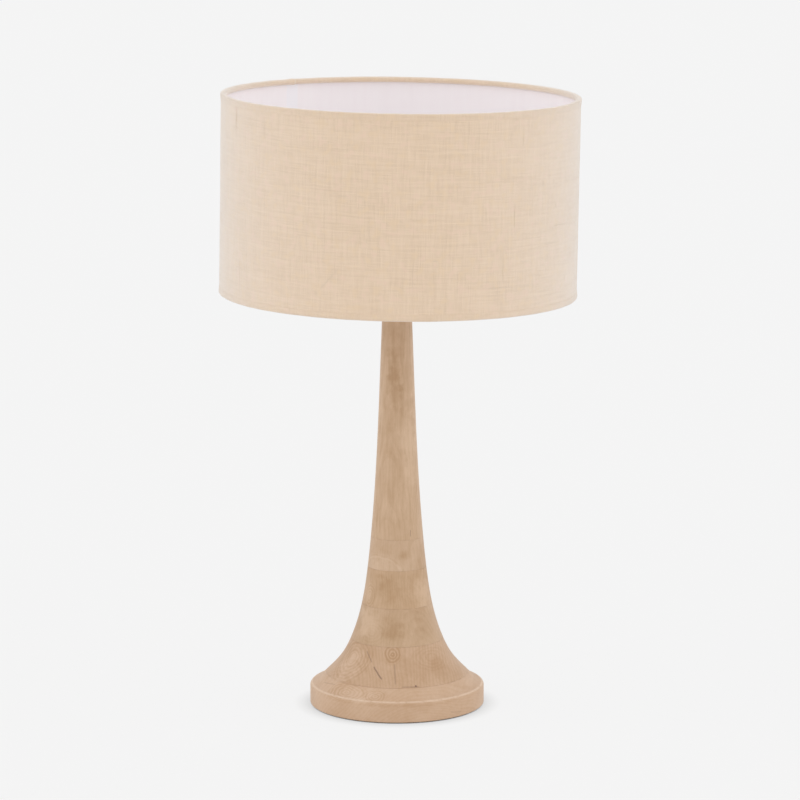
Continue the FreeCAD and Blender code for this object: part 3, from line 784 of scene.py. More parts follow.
def lap_step(angle, height):
    """How proud the lap lies: a sharp edge, then a slope down over its width."""
    round_from_edge = past_lap(angle)
    if round_from_edge > LAP_WIDTH:
        return 0.0
    flat = 1 - max(0.0, (round_from_edge - 0.75 * LAP_WIDTH) / (0.25 * LAP_WIDTH))
    return LAP_STEP * flat * (0.9 + 0.2 * wander(height * 40, 3.0, 0.0))


def cloth_outline(angle):
    x, y = math.sin(angle), math.cos(angle)
    outside = []
    for row in range(WALL_ROWS + 1):
        height = cloth_low + (cloth_high - cloth_low) * row / WALL_ROWS
        swell = CLOTH_SWELL * (wander(5 * x, 5 * y, height * 22) + 0.5 * wander(16 * x, 16 * y, height * 60))
        outside.append((cloth_face + swell + lap_step(angle, height), height))
    return [(cloth_inside + CLOTH_GAP, cloth_high), (cloth_inside + CLOTH_GAP, cloth_low)] + outside


def lining_outline(angle):
    x, y = math.sin(angle), math.cos(angle)
    inside = []
    for row in range(WALL_ROWS // 2 + 1):
        height = lining_high - (lining_high - lining_low) * row / (WALL_ROWS // 2)
        swell = LINING_SWELL * wander(4 * x, 4 * y, height * 9 + 7)
        inside.append((lining_inside + swell, height))
    return inside + [(lining_outside, lining_low), (lining_outside, lining_high)]


cloth = turned("shade_cloth_drum", cloth_outline, DRUM_SIDES, cloth_face, LAP_ANGLE, ON_SHADE)
lining = turned("shade_lining_drum", lining_outline, LINING_SIDES, lining_inside, LAP_ANGLE, ON_SHADE)
print("cloth swells", CLOTH_SWELL / MM, "mm, lap", LAP_STEP / MM, "mm proud")

# %% [markdown]
# ## Rolled hems
# A strip of the same cloth binds each rim. It starts on the outside, goes over the edge and round
# the wire ring, and ends on the lining. Pulled tight by hand, it bulges over the wire, thins out
# towards its lower edge and wanders by a fraction of a millimetre, and its ends lap with a small
# notch. The path is a line of points round the edge; thickness is laid on to both sides of it.

# %% Rolled hems
HEM_HEIGHT = 6.3 * MM
HEM_CLOTH = 0.62 * MM
HEM_EDGE = 0.20 * MM                      # thickness at its lower edge on the outside
HEM_CORNER = 1.3 * MM
HEM_WANDER = 0.16 * MM
HEM_LAP_WIDTH = 9.0 * MM
HEM_LAP_STEP = 0.40 * MM
HEM_NOTCH = 0.8 * MM
NOTCH_WIDTH = 1.8 * MM
HEM_RISE = 0.35 * MM                      # how far its lower edge wanders
WIRE_RADIUS = (wire_outside - wire_inside) / 2
WIRE_CENTRE = (wire_inside + wire_outside) / 2
ROLL_RADIUS = (WIRE_CENTRE - hem_inside) - HEM_CLOTH / 2
FACE_STEPS, CORNER_STEPS, ROLL_STEPS = 6, 6, 14
HEM_SIDES = 720


def hem_path(rise):
    """Middle line of the binding, as (radius, depth below the rim), from its outer edge inwards."""
    face = cloth_face + HEM_CLOTH / 2 + CLOTH_GAP
    top = HEM_CLOTH / 2
    path = []
    for share in np.linspace(0, 1, FACE_STEPS + 1):
        thinned = (HEM_CLOTH - HEM_EDGE) / 2 * (1 - share) ** 2
        path.append((face - thinned, HEM_HEIGHT + rise + share * (HEM_CORNER - HEM_HEIGHT - rise)))
    for step in range(1, CORNER_STEPS + 1):
        turn = math.pi / 2 * step / CORNER_STEPS
        corner = face - HEM_CORNER + HEM_CORNER * math.cos(turn)
        path.append((corner, top + HEM_CORNER * (1 - math.sin(turn))))
    for step in range(ROLL_STEPS + 1):
        turn = math.pi * step / ROLL_STEPS
        path.append((WIRE_CENTRE - ROLL_RADIUS * math.sin(turn), top + ROLL_RADIUS * (1 - math.cos(turn))))
    path.append((lining_inside - CLOTH_GAP - HEM_CLOTH / 2, top + 2 * ROLL_RADIUS))
    return path


def hem_lap(angle):
    """1 on the overlapping end of the binding, 0 elsewhere, and how deep the notch beside it is."""
    round_from_edge = past_lap(angle)
    lap = max(0.0, 1 - round_from_edge / HEM_LAP_WIDTH) if round_from_edge < HEM_LAP_WIDTH else 0.0
    before = (math.tau * cloth_face - round_from_edge) / NOTCH_WIDTH
    return lap, math.exp(-before ** 2)


def hem_outline(seed, rim, inwards):
    """The binding's closed outline at an angle. rim is its edge, and inwards is -1 at the top."""

    def at_angle(angle):
        x, y = math.sin(angle), math.cos(angle)
        rise = HEM_RISE * wander(9 * x, 9 * y, seed) + 0.12 * MM * wander(40 * x, 40 * y, seed)
        lap, notch = hem_lap(angle)
        path = hem_path(rise)
        left, right = [], []
        for index, (radius, depth) in enumerate(path):
            before, after = path[max(index - 1, 0)], path[min(index + 1, len(path) - 1)]
            along = Vector((after[0] - before[0], after[1] - before[1])).normalized()
            share = min(1.0, index / FACE_STEPS)
            thick = HEM_EDGE + (HEM_CLOTH - HEM_EDGE) * share
            puff = HEM_WANDER * share * wander(14 * x, 14 * y, seed + index * 0.16)
            puff += HEM_LAP_STEP * lap * share - HEM_NOTCH * notch * share
            skin = thick / 2 + puff
            left.append((radius - along.y * skin, depth + along.x * skin))
            right.append((radius + along.y * thick / 2, depth - along.x * thick / 2))
        outline = left + right[::-1]
        return [(radius, rim + inwards * depth) for radius, depth in outline]

    return at_angle


top_hem, bottom_hem = (
    turned(name, hem_outline(seed, rim, inwards), HEM_SIDES, cloth_face, LAP_ANGLE, ON_SHADE)
    for name, seed, rim, inwards in (
        ("top_hem_binding", 3.0, drum_high, -1),
        ("bottom_hem_binding", 8.0, drum_low, 1),
    )
)
for hem in (top_hem, bottom_hem):
    print(hem.name, "rolls round a wire of", round(2 * WIRE_RADIUS / MM, 2), "mm")

# %% [markdown]
# ## Slubs, by Geometry Nodes
# Raffia-like yarn is uneven: here and there a thick stretch of it lies on the weave as a spindle,
# a hand's breadth long at most. They are all one shape in many lengths, so Geometry Nodes lay them
# out on the flat strip, where a place is simply along and up, keep that place as their UV, and
# then roll the strip into the drum. Seven are the photograph's own and are listed one by one: two
# long weft threads, two warp ones, two specks and a knot at the lower hem.

# %% Slubs laid by Geometry Nodes
SLUB_COUNT = 90
OWN_SLUB_WIDE, OWN_SLUB_PROUD = 0.42 * MM, 0.15 * MM      # half sizes
CLOTH_HEIGHT = cloth_high - cloth_low
WALL_START = float(CLOTH_HEIGHT + CLOTH_THICKNESS - CLOTH_GAP)    # where the outer wall's UV begins
OWN_SLUBS = [             # (azimuth, height above the pivot), length, turn, as the photograph shows them
    ((-25.6, 75.2), 116, 1.3),
    ((58.7, 81.4), 114, -0.3),
    ((-29.8, 35.5), 53, 90),
    ((34.2, 8.5), 33, 90),
    ((-10.1, 34.6), 5, 90),
    ((-27.4, 61.6), 4, 88),
    ((-0.8, -35.3), 9, 0),
]


class Nodes(Tree):
    """A Geometry Nodes tree with one geometry out."""

    def __init__(self, name):
        super().__init__(bpy.data.node_groups.new(name, "GeometryNodeTree"))
        self.tree.interface.new_socket("Geometry", in_out="OUTPUT", socket_type="NodeSocketGeometry")

    def input(self, name, value, kind="NodeSocketFloat"):
        self.tree.interface.new_socket(name, in_out="INPUT", socket_type=kind).default_value = value

    def inputs(self):
        """One Group Input node; returns its wires by name."""
        group = self.tree.nodes.new("NodeGroupInput")
        return {output.name: Wire(self, output) for output in group.outputs if output.name}

    def random(self, low, high, seed):
        sockets = {"Min": low, "Max": high, "Seed": seed}
        return self.node("FunctionNodeRandomValue", {"data_type": "FLOAT"}, sockets, "Value")

    def finish(self, geometry, material):
        """Ends the tree: real meshes with their material."""
        real = self.node("GeometryNodeRealizeInstances", None, {"Geometry": geometry}, "Geometry")
        sockets = {"Geometry": real, "Material": material}
        coloured = self.node("GeometryNodeSetMaterial", None, sockets, "Geometry")
        end = self.tree.nodes.new("NodeGroupOutput")
        self.tree.links.new(coloured.socket, end.inputs[0])
        return self.tree


def grown(name, tree, place=None, start=None, **sizes):
    """Runs a tree on an object and keeps the plain mesh that comes out. sizes are its inputs."""
    seedling = add_piece(name, start or bpy.data.meshes.new(name + "_start"))
    growth = seedling.modifiers.new(name, "NODES")
    growth.node_group = tree
    for item in tree.interface.items_tree:
        if item.in_out == "INPUT" and item.name in sizes:
            growth[item.identifier] = sizes[item.name]
    bpy.context.view_layer.update()
    evaluated = seedling.evaluated_get(bpy.context.evaluated_depsgraph_get())
    mesh = bpy.data.meshes.new_from_object(evaluated)
    seedling.modifiers.clear()
    seedling.data = mesh
    if place:
        mesh.transform(place)
    soft_shading(mesh)
    return seedling


def slub_tree():
    """Spindles strewn over a flat strip, then rolled round the drum."""
    tree = Nodes("slubs")
    tree.input("Count", SLUB_COUNT, "NodeSocketInt")
    tree.input("Seed", 5, "NodeSocketInt")
    tree.input("Radius", 0.175)
    tree.input("Height", 0.19)
    tree.input("Thickness", 0.0004)
    size = tree.inputs()
    points = tree.node("GeometryNodePoints", None, {"Count": size["Count"]}, "Points")
    start = (LAP_ANGLE * size["Radius"]) + LAP_WIDTH * 1.2
    along = tree.random(0.0, 1.0, size["Seed"]) * (math.tau * size["Radius"] - LAP_WIDTH * 2.4) + start
    up = tree.random(0.06, 0.94, size["Seed"] + 1) * size["Height"]
    spread = {"Geometry": points, "Position": tree.joined(along, up, 0.0)}
    placed = tree.node("GeometryNodeSetPosition", None, spread, "Geometry")
    upright = tree.random(0.0, 1.0, size["Seed"] + 2).between(0.64, 0.66)
    turn = upright * (math.pi / 2) + tree.random(-0.02, 0.02, size["Seed"] + 3)
    length = tree.random(0.05, 1.0, size["Seed"] + 4).power(2.0) * 0.034 + 0.004
    wide = tree.random(0.7, 1.3, size["Seed"] + 5) * size["Thickness"]
    sphere = tree.node("GeometryNodeMeshUVSphere", None, {"Segments": 12, "Rings": 6, "Radius": 1.0}, "Mesh")
    strewn = tree.node("GeometryNodeInstanceOnPoints", None, {
        "Points": placed, "Instance": sphere, "Rotation": tree.joined(0.0, 0.0, turn),
        "Scale": tree.joined(length * 0.5, wide, wide * 0.35),
    }, "Instances")
    flat = tree.node("GeometryNodeRealizeInstances", None, {"Geometry": strewn}, "Geometry")
    return tree, flat, size


def rolled_up(tree, geometry, size):
    """Keeps the flat place as UV, and rolls the strip round the drum."""
    flat = tree.node("GeometryNodeInputPosition", None, None, "Position")
    x, y, z = tree.parts(flat)
    marked = tree.node("GeometryNodeStoreNamedAttribute", {"data_type": "FLOAT2", "domain": "CORNER"}, {
        "Geometry": geometry, "Name": UV_NAME, "Value": tree.joined(x, y + WALL_START, 0.0),
    }, "Geometry")
    angle = x / size["Radius"]
    out = z + size["Radius"]
    rolled = tree.joined(out * angle.sine(), out * (angle + math.pi / 2).sine() * -1, y + float(cloth_low))
    return tree.node("GeometryNodeSetPosition", None, {"Geometry": marked, "Position": rolled}, "Geometry")


# %% [markdown]
# ## Slub weave
# Plain weave: every thread goes over one and under the next. The cloth's UV is in millimetres, so
# thread numbers are places divided by the spacing, and whether their sum is odd says which thread
# lies on top. Each thread has its own tone and thickness, which drift along it; that alone
# makes the dashes that one sees from afar. The weft is a degree off square, as on most shades.

# %% Cloth finish
THREAD = 1.15             # millimetres from thread to thread
WEFT_SKEW = math.tan(math.radians(1.1))
CLOTH_PALE = paint(241, 212, 180)
CLOTH_DEEP = paint(222, 190, 153)
CLOTH_GOLD = paint(237, 205, 164)
CLOTH_ROSE = paint(239, 205, 176)
NOTCH_SHADE_COLOUR = paint(150, 120, 92)            # painted shade in the notch where a binding's ends meet
NOTCH_SHADE_AT = math.tau * float(cloth_face) / MM - 1.7
NOTCH_SHADE_FADE = 1.2


def thread_tone(finish, number, along, length):
    """One value for each thread, drifting along it over that length."""
    place = finish.joined(number * 3.7, along * (1 / length), number * 0.61)
    return finish.cloud(place, 1.0, 2, 0.65)


def weave(finish, across, up, spacing):
    """Relief and tone of a plain weave: (relief 0 to 1, tone around 0.5)."""
    warp, weft = across / spacing, up / spacing
    warp_number, weft_number = warp.floor(), weft.floor()
    warp_side, weft_side = warp - warp_number, weft - weft_number
    odd = (warp_number + weft_number) * 0.5
    warp_on_top = ((odd - odd.floor()) * 2).between(0.4, 0.6)
    warp_round = (warp_side * (1 - warp_side) * 4).root()
    weft_round = (weft_side * (1 - weft_side) * 4).root()
    warp_relief = warp_round * (weft_round * 0.4 + 0.6)
    weft_relief = weft_round * (warp_round * 0.4 + 0.6)
    relief = weft_relief + (warp_relief - weft_relief) * warp_on_top
    warp_tone = thread_tone(finish, warp_number, up, 26)
    weft_tone = thread_tone(finish, weft_number + 57, across, 34)
    tone = weft_tone + (warp_tone - weft_tone) * (warp_on_top * 0.5 + 0.25)
    return relief, tone


def cloth_finish(name, spacing=THREAD, shade=0.0, contrast=1.0, notch_shade=0.0):
    """Slub cloth. shade darkens it, and the last argument sets how dark the painted shade in the notch at
    the binding's lap is.
    """
    finish = Finish(name)
    u, v, _ = finish.parts(finish.uv())
    swim = finish.parts(finish.cloud(finish.uv(), 0.035, 2, 0.5, "Color"))
    across = u + (swim[0] - 0.5) * 2.2
    up = v + u * WEFT_SKEW + (swim[1] - 0.5) * 2.0
    relief, tone = weave(finish, across, up, spacing)
    bands = finish.cloud(finish.joined(u * 0.012, up * 0.42, 3.0), 1.0, 2, 0.6)
    stripes = finish.cloud(finish.joined(across * 0.42, v * 0.014, 9.0), 1.0, 2, 0.6)
    dye = finish.cloud(finish.uv(), 0.055, 2, 0.5)
    tint = finish.cloud(finish.uv(), 0.11, 1, 0.5)
    # painted shade: the hollows between the threads are darkened in the colour
    thread_gap_shade = 1 - relief
    deep = (0.5 - tone) * 2.6 * contrast + (0.5 - bands) * 0.9 * contrast + (0.5 - stripes) * 0.7 * contrast
    deep = deep + (dye - 0.5) * 0.5 + thread_gap_shade * 0.30 + 0.34 + shade
    colour = finish.mix(deep.between(-0.3, 1.3), CLOTH_PALE, CLOTH_DEEP)
    colour = finish.mix(tint.between(0.52, 0.72) * 0.55, colour, CLOTH_GOLD)
    colour = finish.mix(tint.between(0.46, 0.28) * 0.55, colour, CLOTH_ROSE)
    # painted shade: the notch beside the binding's lap is darkened in the colour
    if notch_shade:
        colour = finish.mix(u.between(NOTCH_SHADE_AT, NOTCH_SHADE_AT + NOTCH_SHADE_FADE) * notch_shade, colour, NOTCH_SHADE_COLOUR)
    return finish.surface(
        base_color=colour,
        roughness=0.86,
        specular_ior_level=0.25,
        sheen_weight=1.0,
        sheen_roughness=0.75,
        normal=finish.bump(relief + (tone - 0.5) * 0.8, 0.16),
    )


def lining_finish(name, base, deep):
    """Smooth white laminate: the weave behind it shows as faint upright bands."""
    finish = Finish(name)
    u, v, _ = finish.parts(finish.uv())
    bands = finish.cloud(finish.joined(u * 0.085, v * 0.004, 0.0), 1.0, 3, 0.6)
    print_through = finish.cloud(finish.joined(u * 1.7, v * 1.7, 0.0), 0.5, 2, 0.6)
    clouds = finish.cloud(finish.uv(), 0.03, 2, 0.5)
    tone = (bands - 0.5) * 1.1 + (print_through - 0.5) * 0.25 + (clouds - 0.5) * 0.5 + 0.4
    return finish.surface(
        base_color=finish.mix(tone.between(0.0, 1.0), base, deep),
        roughness=0.55 + print_through * 0.12,
        specular_ior_level=0.35,
        normal=finish.bump(print_through * 0.6 + bands * 0.4, 0.05),
    )


weave_of_wall = cloth_finish("slub_cloth")
weave_of_hem = cloth_finish("hem_cloth", 0.95, 0.06, 0.8, 0.7)
weave_of_slub = cloth_finish("slub_thread", 0.5, 0.42, 0.5)
white_lining = lining_finish("white_lining", paint(253, 248, 250), paint(249, 242, 245))
# painted light: the tape is paler and bluer than the lining, for light from outside showing through it
white_tape = lining_finish("white_tape", paint(252, 250, 253), paint(248, 245, 250))

# %% [markdown]
# ## Dressing the drum
# The strewn slubs and the photograph's own ones become two meshes. The cloth is a sheet that is
# stretched on the lining: once round and a lap wide, and a turned edge taller than it shows.

# %% Cloth, hems and slubs in place
nodes_of_slubs, strewn, size = slub_tree()
slub_group = nodes_of_slubs.finish(rolled_up(nodes_of_slubs, strewn, size), weave_of_slub)
slubs = grown("shade_slubs", slub_group, ON_SHADE,
              Radius=float(cloth_face), Height=float(CLOTH_HEIGHT), Count=SLUB_COUNT)


def own_slubs():
    """The photograph's own slubs, as flat spindles on the strip that are then rolled up."""
    shape = bmesh.new()
    for (azimuth, height), length, turn in OWN_SLUBS:
        spindle = Matrix.Diagonal((length / 2 * MM, OWN_SLUB_WIDE, OWN_SLUB_PROUD, 1.0))
        lay = Matrix.Rotation(math.radians(turn), 4, "Z")
        where = Matrix.Translation((math.radians(azimuth) * cloth_face, height * MM - cloth_low, 0))
        bmesh.ops.create_uvsphere(shape, u_segments=48, v_segments=8, radius=1.0,
                                  matrix=where @ lay @ spindle @ Matrix.Rotation(math.pi / 2, 4, "Y"))
    mesh = bpy.data.meshes.new("own_slubs")
    shape.to_mesh(mesh)
    shape.free()
    return mesh


def rolling_tree(material):
    tree = Nodes("rolled")
    tree.tree.interface.new_socket("Flat", in_out="INPUT", socket_type="NodeSocketGeometry")
    tree.input("Radius", 0.175)
    size = tree.inputs()
    return tree.finish(rolled_up(tree, size["Flat"], size), material)


laid_slubs = grown("shade_own_slubs", rolling_tree(weave_of_slub), ON_SHADE, own_slubs(),
                   Radius=float(cloth_face))
dressed(cloth, "shade", "shade_cloth", weave_of_wall, "shade_cloth")
dressed(lining, "shade", "shade_lining", white_lining, "shade_lining")
dressed(top_hem, "shade", "shade_cloth", weave_of_hem, "top_hem")
dressed(bottom_hem, "shade", "shade_cloth", weave_of_hem, "bottom_hem")
dressed(slubs, "shade", "shade_cloth", weave_of_slub)
dressed(laid_slubs, "shade", "shade_cloth", weave_of_slub)

# %% [markdown]
# ## Tape over the lining's overlap
# Where the lining's ends meet, back left, a strip of the same white laminate covers the step. Light
# from outside makes it show as one paler, slightly bluer band, and that light is painted into the
# tape's own colour. It is a thin solid with edges that thin out to nothing, so that it casts no hard line.

# %% Lining tape
TAPE_WIDTH = 14.0 * MM
TAPE_THICKNESS = 0.22 * MM
TAPE_COLUMNS, TAPE_ROWS = 16, 14
tape_low, tape_high = measured_on_shade("seam_tape")[2:]


def tape_mesh():
    shape = bmesh.new()
    uv = shape.loops.layers.uv.new(UV_NAME)
    grid = {}
    for side in (0, 1):
        for column in range(TAPE_COLUMNS + 1):
            across = column / TAPE_COLUMNS - 0.5
            angle = LAP_ANGLE + across * TAPE_WIDTH / lining_inside
            thick = TAPE_THICKNESS * min(1.0, 6 * (0.5 - abs(across)) + 0.05)
            for row in range(TAPE_ROWS + 1):
                height = tape_low + (tape_high - tape_low) * row / TAPE_ROWS
                radius = lining_inside - CLOTH_GAP - side * thick
                place = (radius * math.sin(angle), -radius * math.cos(angle), height)
                grid[side, column, row] = shape.verts.new(place)
    for column in range(TAPE_COLUMNS):
        for row in range(TAPE_ROWS):
            corners = ((column, row), (column + 1, row), (column + 1, row + 1), (column, row + 1))
            for side in (0, 1):
                shape.faces.new([grid[side, c, r] for c, r in corners])
    rim = [(c, 0) for c in range(TAPE_COLUMNS)] + [(TAPE_COLUMNS, r) for r in range(TAPE_ROWS)]
    rim += [(c, TAPE_ROWS) for c in range(TAPE_COLUMNS, 0, -1)] + [(0, r) for r in range(TAPE_ROWS, 0, -1)]
    for here, there in zip(rim, rim[1:] + rim[:1]):
        shape.faces.new([grid[0, *here], grid[0, *there], grid[1, *there], grid[1, *here]])
    for face in shape.faces:
        for loop in face.loops:
            x, y, z = loop.vert.co
            loop[uv].uv = (math.atan2(x, -y) * lining_inside, z)
    bmesh.ops.recalc_face_normals(shape, faces=shape.faces)
    mesh = bpy.data.meshes.new("lining_tape")
    shape.to_mesh(mesh)
    shape.free()
    mesh.transform(ON_SHADE)
    soft_shading(mesh)
    return mesh


dressed(add_piece("lining_tape", tape_mesh()), "shade", "shade_lining", white_tape, "seam_tape")

# %% [markdown]
# ## Metal
# The fittings are zinc-plated steel and lacquered brass. Both are turned or drawn, which leaves fine
# lines round their axis, and both go dull in patches. Lines and patches mostly change how
# rough the metal is, and only a little how dark it is. On a part that isn't round, such as
# a clamp or a washer's face, the same lines read as a brushed finish.

# %% Metal finishes
def metal_finish(name, bright, dull, smooth, rough, spots=None, axis="Z"):
    """Turned metal. smooth and rough are the roughness where it is polished and where it is dull."""
    finish = Finish(name)
    place = finish.place()
    x, y, z = finish.parts(place)
    if axis == "X":
        x, y, z = y, z, x
    radius = (x * x + y * y).root()
    lines = finish.cloud(finish.joined(radius * 5.0, z * 5.0, 0.0), 1.0, 3, 0.7)
    haze = finish.cloud(place, 0.30, 3, 0.6)
    speck = finish.cloud(place, 2.4, 2, 0.6).between(0.62, 0.74)
    dulled = haze.between(0.35, 0.70)
    colour = finish.mix(dulled * 0.8 + (lines - 0.5) * 0.35, bright, dull)
    if spots:
        colour = finish.mix(speck * dulled * 0.6, colour, spots)
    return finish.surface(
        base_color=colour,
        metallic=1.0,
        roughness=dulled * (rough - smooth) + smooth + (lines - 0.5) * 0.12,
        normal=finish.bump(lines + speck * 0.5, 0.02),
    )


zinc = metal_finish("zinc_plate", paint(206, 208, 207), paint(170, 172, 170), 0.28, 0.48,
                    paint(200, 196, 176))
brass = metal_finish("satin_brass", paint(224, 190, 118), paint(196, 158, 92), 0.24, 0.42,
                     paint(150, 112, 66))
bar_brass = metal_finish("bar_brass", paint(224, 190, 118), paint(198, 160, 94), 0.22, 0.38,
                         paint(150, 112, 66), "X")
cap_metal = metal_finish("bulb_cap_metal", paint(212, 213, 214), paint(182, 183, 184), 0.22, 0.40)
print("metals:", zinc.name, brass.name, bar_brass.name, cap_metal.name)

# %% [markdown]
# ## Coated, moulded and glazed
# The wire frame is powder coated: pale, with the fine orange peel of paint that melted, thin on
# the edges. The lampholder is a moulded thermoset, cloudier and glossier, with dust in its corners.
# The insert is glazed ceramic with small dark specks. One recipe serves all: clouds for the
# colour, a pebbled relief, and specks; what differs are the numbers. The gland, the bulb's dark
# insulator and the felt take it too.

# %% Coated, moulded and glazed finishes
def moulded_finish(name, pale, deep, gloss, pebble, depth, speck_colour, specks, sheen=0.0):
    """pebble is how many swells the relief has per millimetre, and depth their height."""
    finish = Finish(name)
    place = finish.place()
    cloud = finish.cloud(place, 0.09, 3, 0.6)
    peel = finish.cloud(place, pebble, 2, 0.5)
    speck = finish.cloud(place, 1.3, 2, 0.7).between(0.70, 0.78)
    colour = finish.mix(cloud.between(0.25, 0.75), pale, deep)
    colour = finish.mix(speck * specks, colour, speck_colour)
    return finish.surface(
        base_color=colour,
        roughness=(cloud - 0.5) * 0.16 + (peel - 0.5) * 0.10 + gloss,
        sheen_weight=sheen,
        normal=finish.bump(peel, depth),
    )


coat = moulded_finish("powder_coat", paint(240, 238, 233), paint(230, 227, 220), 0.36, 1.1, 0.035,
                      paint(190, 186, 178), 0.35)
thermoset = moulded_finish("holder_thermoset", paint(239, 234, 222), paint(229, 222, 206), 0.26, 0.5, 0.012,
                           paint(186, 174, 150), 0.30)
ceramic = moulded_finish("glazed_ceramic", paint(244, 243, 238), paint(234, 232, 224), 0.14, 0.35, 0.02,
                         paint(120, 104, 84), 0.6)
gland_plastic = moulded_finish("gland_nylon", paint(232, 221, 199), paint(221, 208, 183), 0.40, 1.6, 0.03,
                               paint(176, 160, 132), 0.25)
vitrite = moulded_finish("dark_vitrite", paint(44, 42, 48), paint(30, 28, 34), 0.12, 0.8, 0.03,
                         paint(84, 80, 92), 0.4)
felt = moulded_finish("brown_felt", paint(124, 108, 92), paint(98, 84, 71), 0.92, 2.8, 0.30,
                      paint(150, 134, 116), 0.7, 0.4)
print("finishes:", ", ".join(m.name for m in (coat, thermoset, ceramic, gland_plastic, vitrite, felt)))

# %% [markdown]
# ## Glass and filaments
# The bulb's envelope is opal: glass with a white powder inside, which lets a little light through
# and hardly shows the sticks in it. Each filament is a glass stick under a yellow phosphor skin, a
# little uneven, with clear ends.

# %% Glass and filament finishes
def glass_finish(name, tint, clear, frosted, seen_through):
    """Glass with powder in it. clear and frosted are its least and greatest roughness."""
    finish = Finish(name)
    place = finish.place()
    powder = finish.cloud(place, 0.12, 3, 0.6)
    grain = finish.cloud(place, 3.5, 1, 0.5)
    return finish.surface(
        base_color=finish.mix(powder.between(0.2, 0.8), tint, paint(252, 252, 250)),
        roughness=powder.between(0.2, 0.8) * (frosted - clear) + clear,
        ior=1.5,
        transmission_weight=seen_through,
        normal=finish.bump(grain, 0.006),
    )


def filament_finish(name):
    finish = Finish(name)
    place = finish.place()
    _, _, z = finish.parts(place)
    skin = finish.cloud(place, 0.9, 3, 0.6)
    low, high = (corner.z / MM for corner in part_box("filaments"))
    bare = z.between(low + 2.2, low + 1.2) + z.between(high - 2.2, high - 1.2)
    colour = finish.mix(skin, paint(250, 208, 92), paint(236, 178, 60))
    return finish.surface(
        base_color=finish.mix(bare, colour, paint(226, 226, 222)),
        roughness=0.45 + skin * 0.2,
        normal=finish.bump(skin, 0.05),
    )


opal = glass_finish("opal_glass", paint(247, 247, 244), 0.16, 0.26, 0.18)
stem_glass = glass_finish("stem_glass", paint(240, 243, 242), 0.04, 0.10, 0.85)
phosphor = filament_finish("phosphor_stick")

# %% [markdown]
# ## Threads
# A screw thread is an outline that climbs one pitch in each turn, so `turned` cuts it once the
# outline knows its angle. The lampholder's skirt has a blunt moulded thread for its two rings;
# the bulb's cap is thin sheet, rolled into soft waves that follow the socket. Both are right-handed.

# %% Skirt and bulb cap
SKIRT_PITCH = 2.8 * MM
SKIRT_THREAD = 0.75 * MM                  # depth
SKIRT_STEP = 0.28 * MM                    # between outline points
SKIRT_LOWER_BORE = (17.5 * MM, 445.0 * MM)    # radius, and the level where the insert stops it
SKIRT_BORE = 15.0 * MM
SKIRT_CHAMFER = 0.5 * MM
SKIRT_FOOT_CHAMFER = 0.4 * MM
SKIRT_PLAIN = 2.0 * MM                    # below the thread
THREAD_SIDES = 120
CAP_PITCH = 3.629 * MM
CAP_WAVE = 0.42 * MM
CAP_WALL = 0.25 * MM
CAP_COLLAR = 5.0 * MM                     # plain sheet above the waves
CAP_ROWS = 64
CAP_TUCK = (1.6 * MM, 1.4 * MM)           # how high and how far its lower edge turns in
CAP_SEAT = 11.0 * MM                      # radius where it grips the insulator


def reach_of(node):
    """Lowest and highest level of a node, and its largest radius."""
    low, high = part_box(node)
    return low.z, high.z, high.y


def climb(angle, height, pitch):
    """Where a place is on the thread, from 0 to 1 through each pitch."""
    return (height / pitch - angle / math.tau) % 1.0


def skirt_outline(angle):
    low, high, radius = reach_of("holder_skirt")
    bore, floor = SKIRT_LOWER_BORE
    outside = []
    count = int((high - low) / SKIRT_STEP)
    for index in range(count + 1):
        height = low + (high - low) * index / count
        wave = abs(2 * climb(angle, height, SKIRT_PITCH) - 1)
        groove = min(1.0, max(0.0, 2.6 * wave - 0.8))
        fade = min(1.0, max(0.0, (height - low - SKIRT_PLAIN) / SKIRT_PITCH), (high - height) / (0.8 * MM))
        outside.append((radius - SKIRT_THREAD * groove * fade, height))
    bore_edge = SKIRT_BORE + SKIRT_CHAMFER
    rim = [(radius - SKIRT_CHAMFER, high), (bore_edge, high), (SKIRT_BORE, high - SKIRT_CHAMFER)]
    foot = [(SKIRT_BORE, floor), (bore, floor), (bore, low), (radius - SKIRT_FOOT_CHAMFER, low)]
    return foot + outside[1:-1] + rim


def cap_outline(angle):
    low, high, radius = reach_of("bulb_screw_cap")
    outside, inside = [], []
    for index in range(CAP_ROWS + 1):
        height = low + (high - low) * index / CAP_ROWS
        wave = 0.5 - 0.5 * math.cos(math.tau * climb(angle, height, CAP_PITCH))
        fade = min(1.0, (height - low) / (2 * MM), max(0.0, (high - CAP_COLLAR - height) / (1.5 * MM)))
        skin = radius - CAP_WAVE * wave * fade - 0.5 * CAP_WAVE * (1 - fade)
        tuck_height, tuck_depth = CAP_TUCK
        skin -= tuck_depth * max(0.0, 1 - (height - low) / tuck_height) ** 2
        outside.append((skin, height))
        inside.append((skin - CAP_WALL, height))
    seat = [(CAP_SEAT, low + CAP_WALL), (CAP_SEAT, low)]
    return seat + outside + inside[::-1][:-2]


skirt = turned("holder_skirt_threaded", skirt_outline, THREAD_SIDES)
bulb_cap = turned("bulb_cap_rolled", cap_outline, THREAD_SIDES)
dressed(skirt, "column", "holder_plastic", thermoset, "holder_skirt")
dressed(bulb_cap, "bulb", "bulb_metal", cap_metal, "bulb_screw_cap")

# %% [markdown]
# ## Grip ribs and weld beads, by Geometry Nodes
# Fingers turn the two shade rings and the lampholder's cap by their ribs. A rib is one small
# rounded bar, and the tree stands copies of it on a circle; ribs near the switch bar's ends
# are left out. Where the three arms meet the frame, the same tree sets a bead of weld instead.

